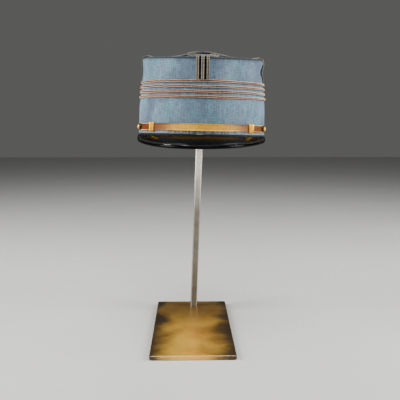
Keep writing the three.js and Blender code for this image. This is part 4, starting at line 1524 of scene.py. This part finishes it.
for group, (middle, towards) in GROUPS.items():
    ways = [upright_line(middle, towards, aside) for aside in (-UPRIGHT_PITCH, 0, UPRIGHT_PITCH)]
    half = UPRIGHT_WIDTH / 2
    left_side = ways[0][0] - ways[0][1] * half
    right_side = ways[2][0] + ways[2][1] * half
    spans = [left_side, ways[0][0], ways[1][0], ways[2][0], right_side]
    outs = [ways[0][2], ways[0][2], ways[1][2], ways[2][2], ways[2][2]]
    upper = [span + out * (LAY_GAP + TAPE) for span, out in zip(spans, outs)]
    lower = [span + out * LAY_GAP for span, out in zip(spans, outs)]
    grid = np.stack(upper + lower[::-1], 1)
    tape = skin(
        f"tape_{group}_weave",
        grid,
        runs(ways[1][0]),
        runs(np.concatenate([grid[5], grid[5][:1]])),
        False,
        True,
        True,
    )
    # The near-black tape fills the gaps between the upright braids: painted shade.
    tape.data.materials.append(TAPE_FINISH)
    dress(tape, "tape", f"tape_{group}")
    seat = 2 * LAY_GAP + TAPE
    for i, way in enumerate(ways):
        braid = plaited(
            f"upright_{group}_{i + 1}_braid", way, UPRIGHT_WIDTH, BRAID_HEIGHT, seat, 1.5, PALE
        )
        dress(braid, "upright_braid", f"upright_{group}_{i + 1}")

strands = [
    plaited(
        f"knot_braid_{i + 1}",
        knot_line(offset),
        BRAID_WIDTH,
        BRAID_HEIGHT,
        KNOT_GAP,
        1.6,
        SHADED_KNOT,
        closed=True,
    )
    for i, offset in enumerate((-KNOT_PITCH, 0.0, KNOT_PITCH))
]
knot = joined(*strands)
dress(knot, "upright_braid", "crown_knot")

# Strap with its ends, slides and buttons

strap = lace("strap_lace", -BUTTON_ANGLE, BUTTON_ANGLE, True, True, LAY_GAP, STRAP_FACE, LACE, LACE)
dress(strap, "gold_lace", "chin_strap")
for hand, side_sign in (("left", -1), ("right", 1)):
    start = KEEPER_ANGLES[hand] + (KEEPER_LENGTH / 2 + SEAM_GAP) / wall_speed(KEEPER_ANGLES[hand])
    if side_sign > 0:
        tab = lace(
            f"tab_{hand}_lace",
            start,
            BUTTON_ANGLE,
            False,
            True,
            TAB_BACK,
            TAB_FACE,
            LACE,
            BRIGHT_LACE,
        )
    else:
        tab = lace(
            f"tab_{hand}_lace",
            -BUTTON_ANGLE,
            -start,
            True,
            False,
            TAB_BACK,
            TAB_FACE,
            LACE,
            BRIGHT_LACE,
        )
    dress(tab, "gold_lace", f"strap_tab_{hand}")
    dress(keeper(f"slide_{hand}", side_sign, GILT), "gilt", f"strap_keeper_{hand}")
    dress(button(f"button_{hand}_dome", side_sign, GILT), "gilt", f"button_{hand}")

# Peak, its rim and its stitches

leaf = peak_leaf(PATENT)
stitch_turns = np.linspace(-84, 84, 337)
stitch_line = peak_face(stitch_turns, 0.955, np.full(len(stitch_turns), PEAK / 2))
leaf_stitches = lay_lobes(
    "leaf_stitches",
    stitch_line,
    peak_frame(stitch_turns)[1],
    BLACK_THREAD,
    step=2.4 * MM,
    lobe_length=1.9 * MM,
    lobe_width=0.45 * MM,
    lobe_height=0.35 * MM,
    raise_=0.05 * MM,
)
dress(joined(leaf, leaf_stitches), "patent_leather", "peak")
dress(peak_rim(PATENT), "patent_leather", "peak_binding")

# Stand

for node, finish in (("stand_plate", PLATE_STEEL), ("stand_post", POST_STEEL)):
    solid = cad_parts[node]
    solid.data.materials.clear()
    solid.data.materials.append(finish)

# Floor, light and camera


def pale_floor():
    points = [(-5.0, -5.0, 0.0), (5.0, -5.0, 0.0), (5.0, 5.0, 0.0), (-5.0, 5.0, 0.0)]
    mesh = bpy.data.meshes.new("floor")
    mesh.from_pydata(points, [], [(0, 1, 2, 3)])
    floor = bpy.data.objects.new("floor", mesh)
    bpy.context.scene.collection.objects.link(floor)
    material, tree, shader, place = new_material("pale_floor")
    tone = noise(tree, place, 6.0, 4.0)
    feed(
        tree, shader.inputs["Base Color"], mixed(tree, tone, rgb(196, 196, 194), rgb(206, 206, 204))
    )
    feed(tree, shader.inputs["Roughness"], scaled(tree, tone, 0.1, 0.6))
    mesh.materials.append(material)


def soft_light(name, at, aim, width, height, power, colour):
    light = bpy.data.lights.new(name, "AREA")
    light.shape = "RECTANGLE"
    light.size = width
    light.size_y = height
    light.energy = power
    light.color = colour
    lamp = bpy.data.objects.new(name, light)
    lamp.location = at
    lamp.rotation_euler = (Vector(aim) - Vector(at)).to_track_quat("-Z", "Y").to_euler()
    bpy.context.scene.collection.objects.link(lamp)


pale_floor()
soft_light("soft_left", (-1.15, -0.2, 0.75), CAP_MIDDLE, 0.6, 0.9, 33.0, (1.0, 0.99, 0.97))
soft_light("soft_right", (1.2, -0.2, 0.7), CAP_MIDDLE, 0.6, 0.9, 32.0, (1.0, 0.99, 0.97))
soft_light("soft_top", (0.0, -0.1, 1.5), CAP_MIDDLE, 1.0, 1.0, 13.0, (0.98, 0.99, 1.0))
soft_light("soft_front", (0.1, -1.5, 0.1), CAP_MIDDLE, 0.8, 0.4, 4.0, (1.0, 0.97, 0.93))

world = bpy.data.worlds.new("studio")
world.use_nodes = True
world.node_tree.nodes["Background"].inputs["Color"].default_value = rgb(192, 192, 190)
world.node_tree.nodes["Background"].inputs["Strength"].default_value = 0.2
bpy.context.scene.world = world

# The camera's place in metres and its turns in degrees, as solved from the photograph
PHOTO_LENS = 54.95
EYE = (-0.00564, -0.72281, 0.23911)
LOOK_DOWN = 6.402
LOOK_RIGHT = 1.198

camera = bpy.data.cameras.new("photo_camera")
camera.lens = PHOTO_LENS
camera.sensor_width = 36.0
camera.clip_start = 0.01
eye = bpy.data.objects.new("photo_camera", camera)
eye.location = EYE
eye.rotation_euler = (math.radians(90 - LOOK_DOWN), 0.0, math.radians(-LOOK_RIGHT))
bpy.context.scene.collection.objects.link(eye)
bpy.context.scene.camera = eye
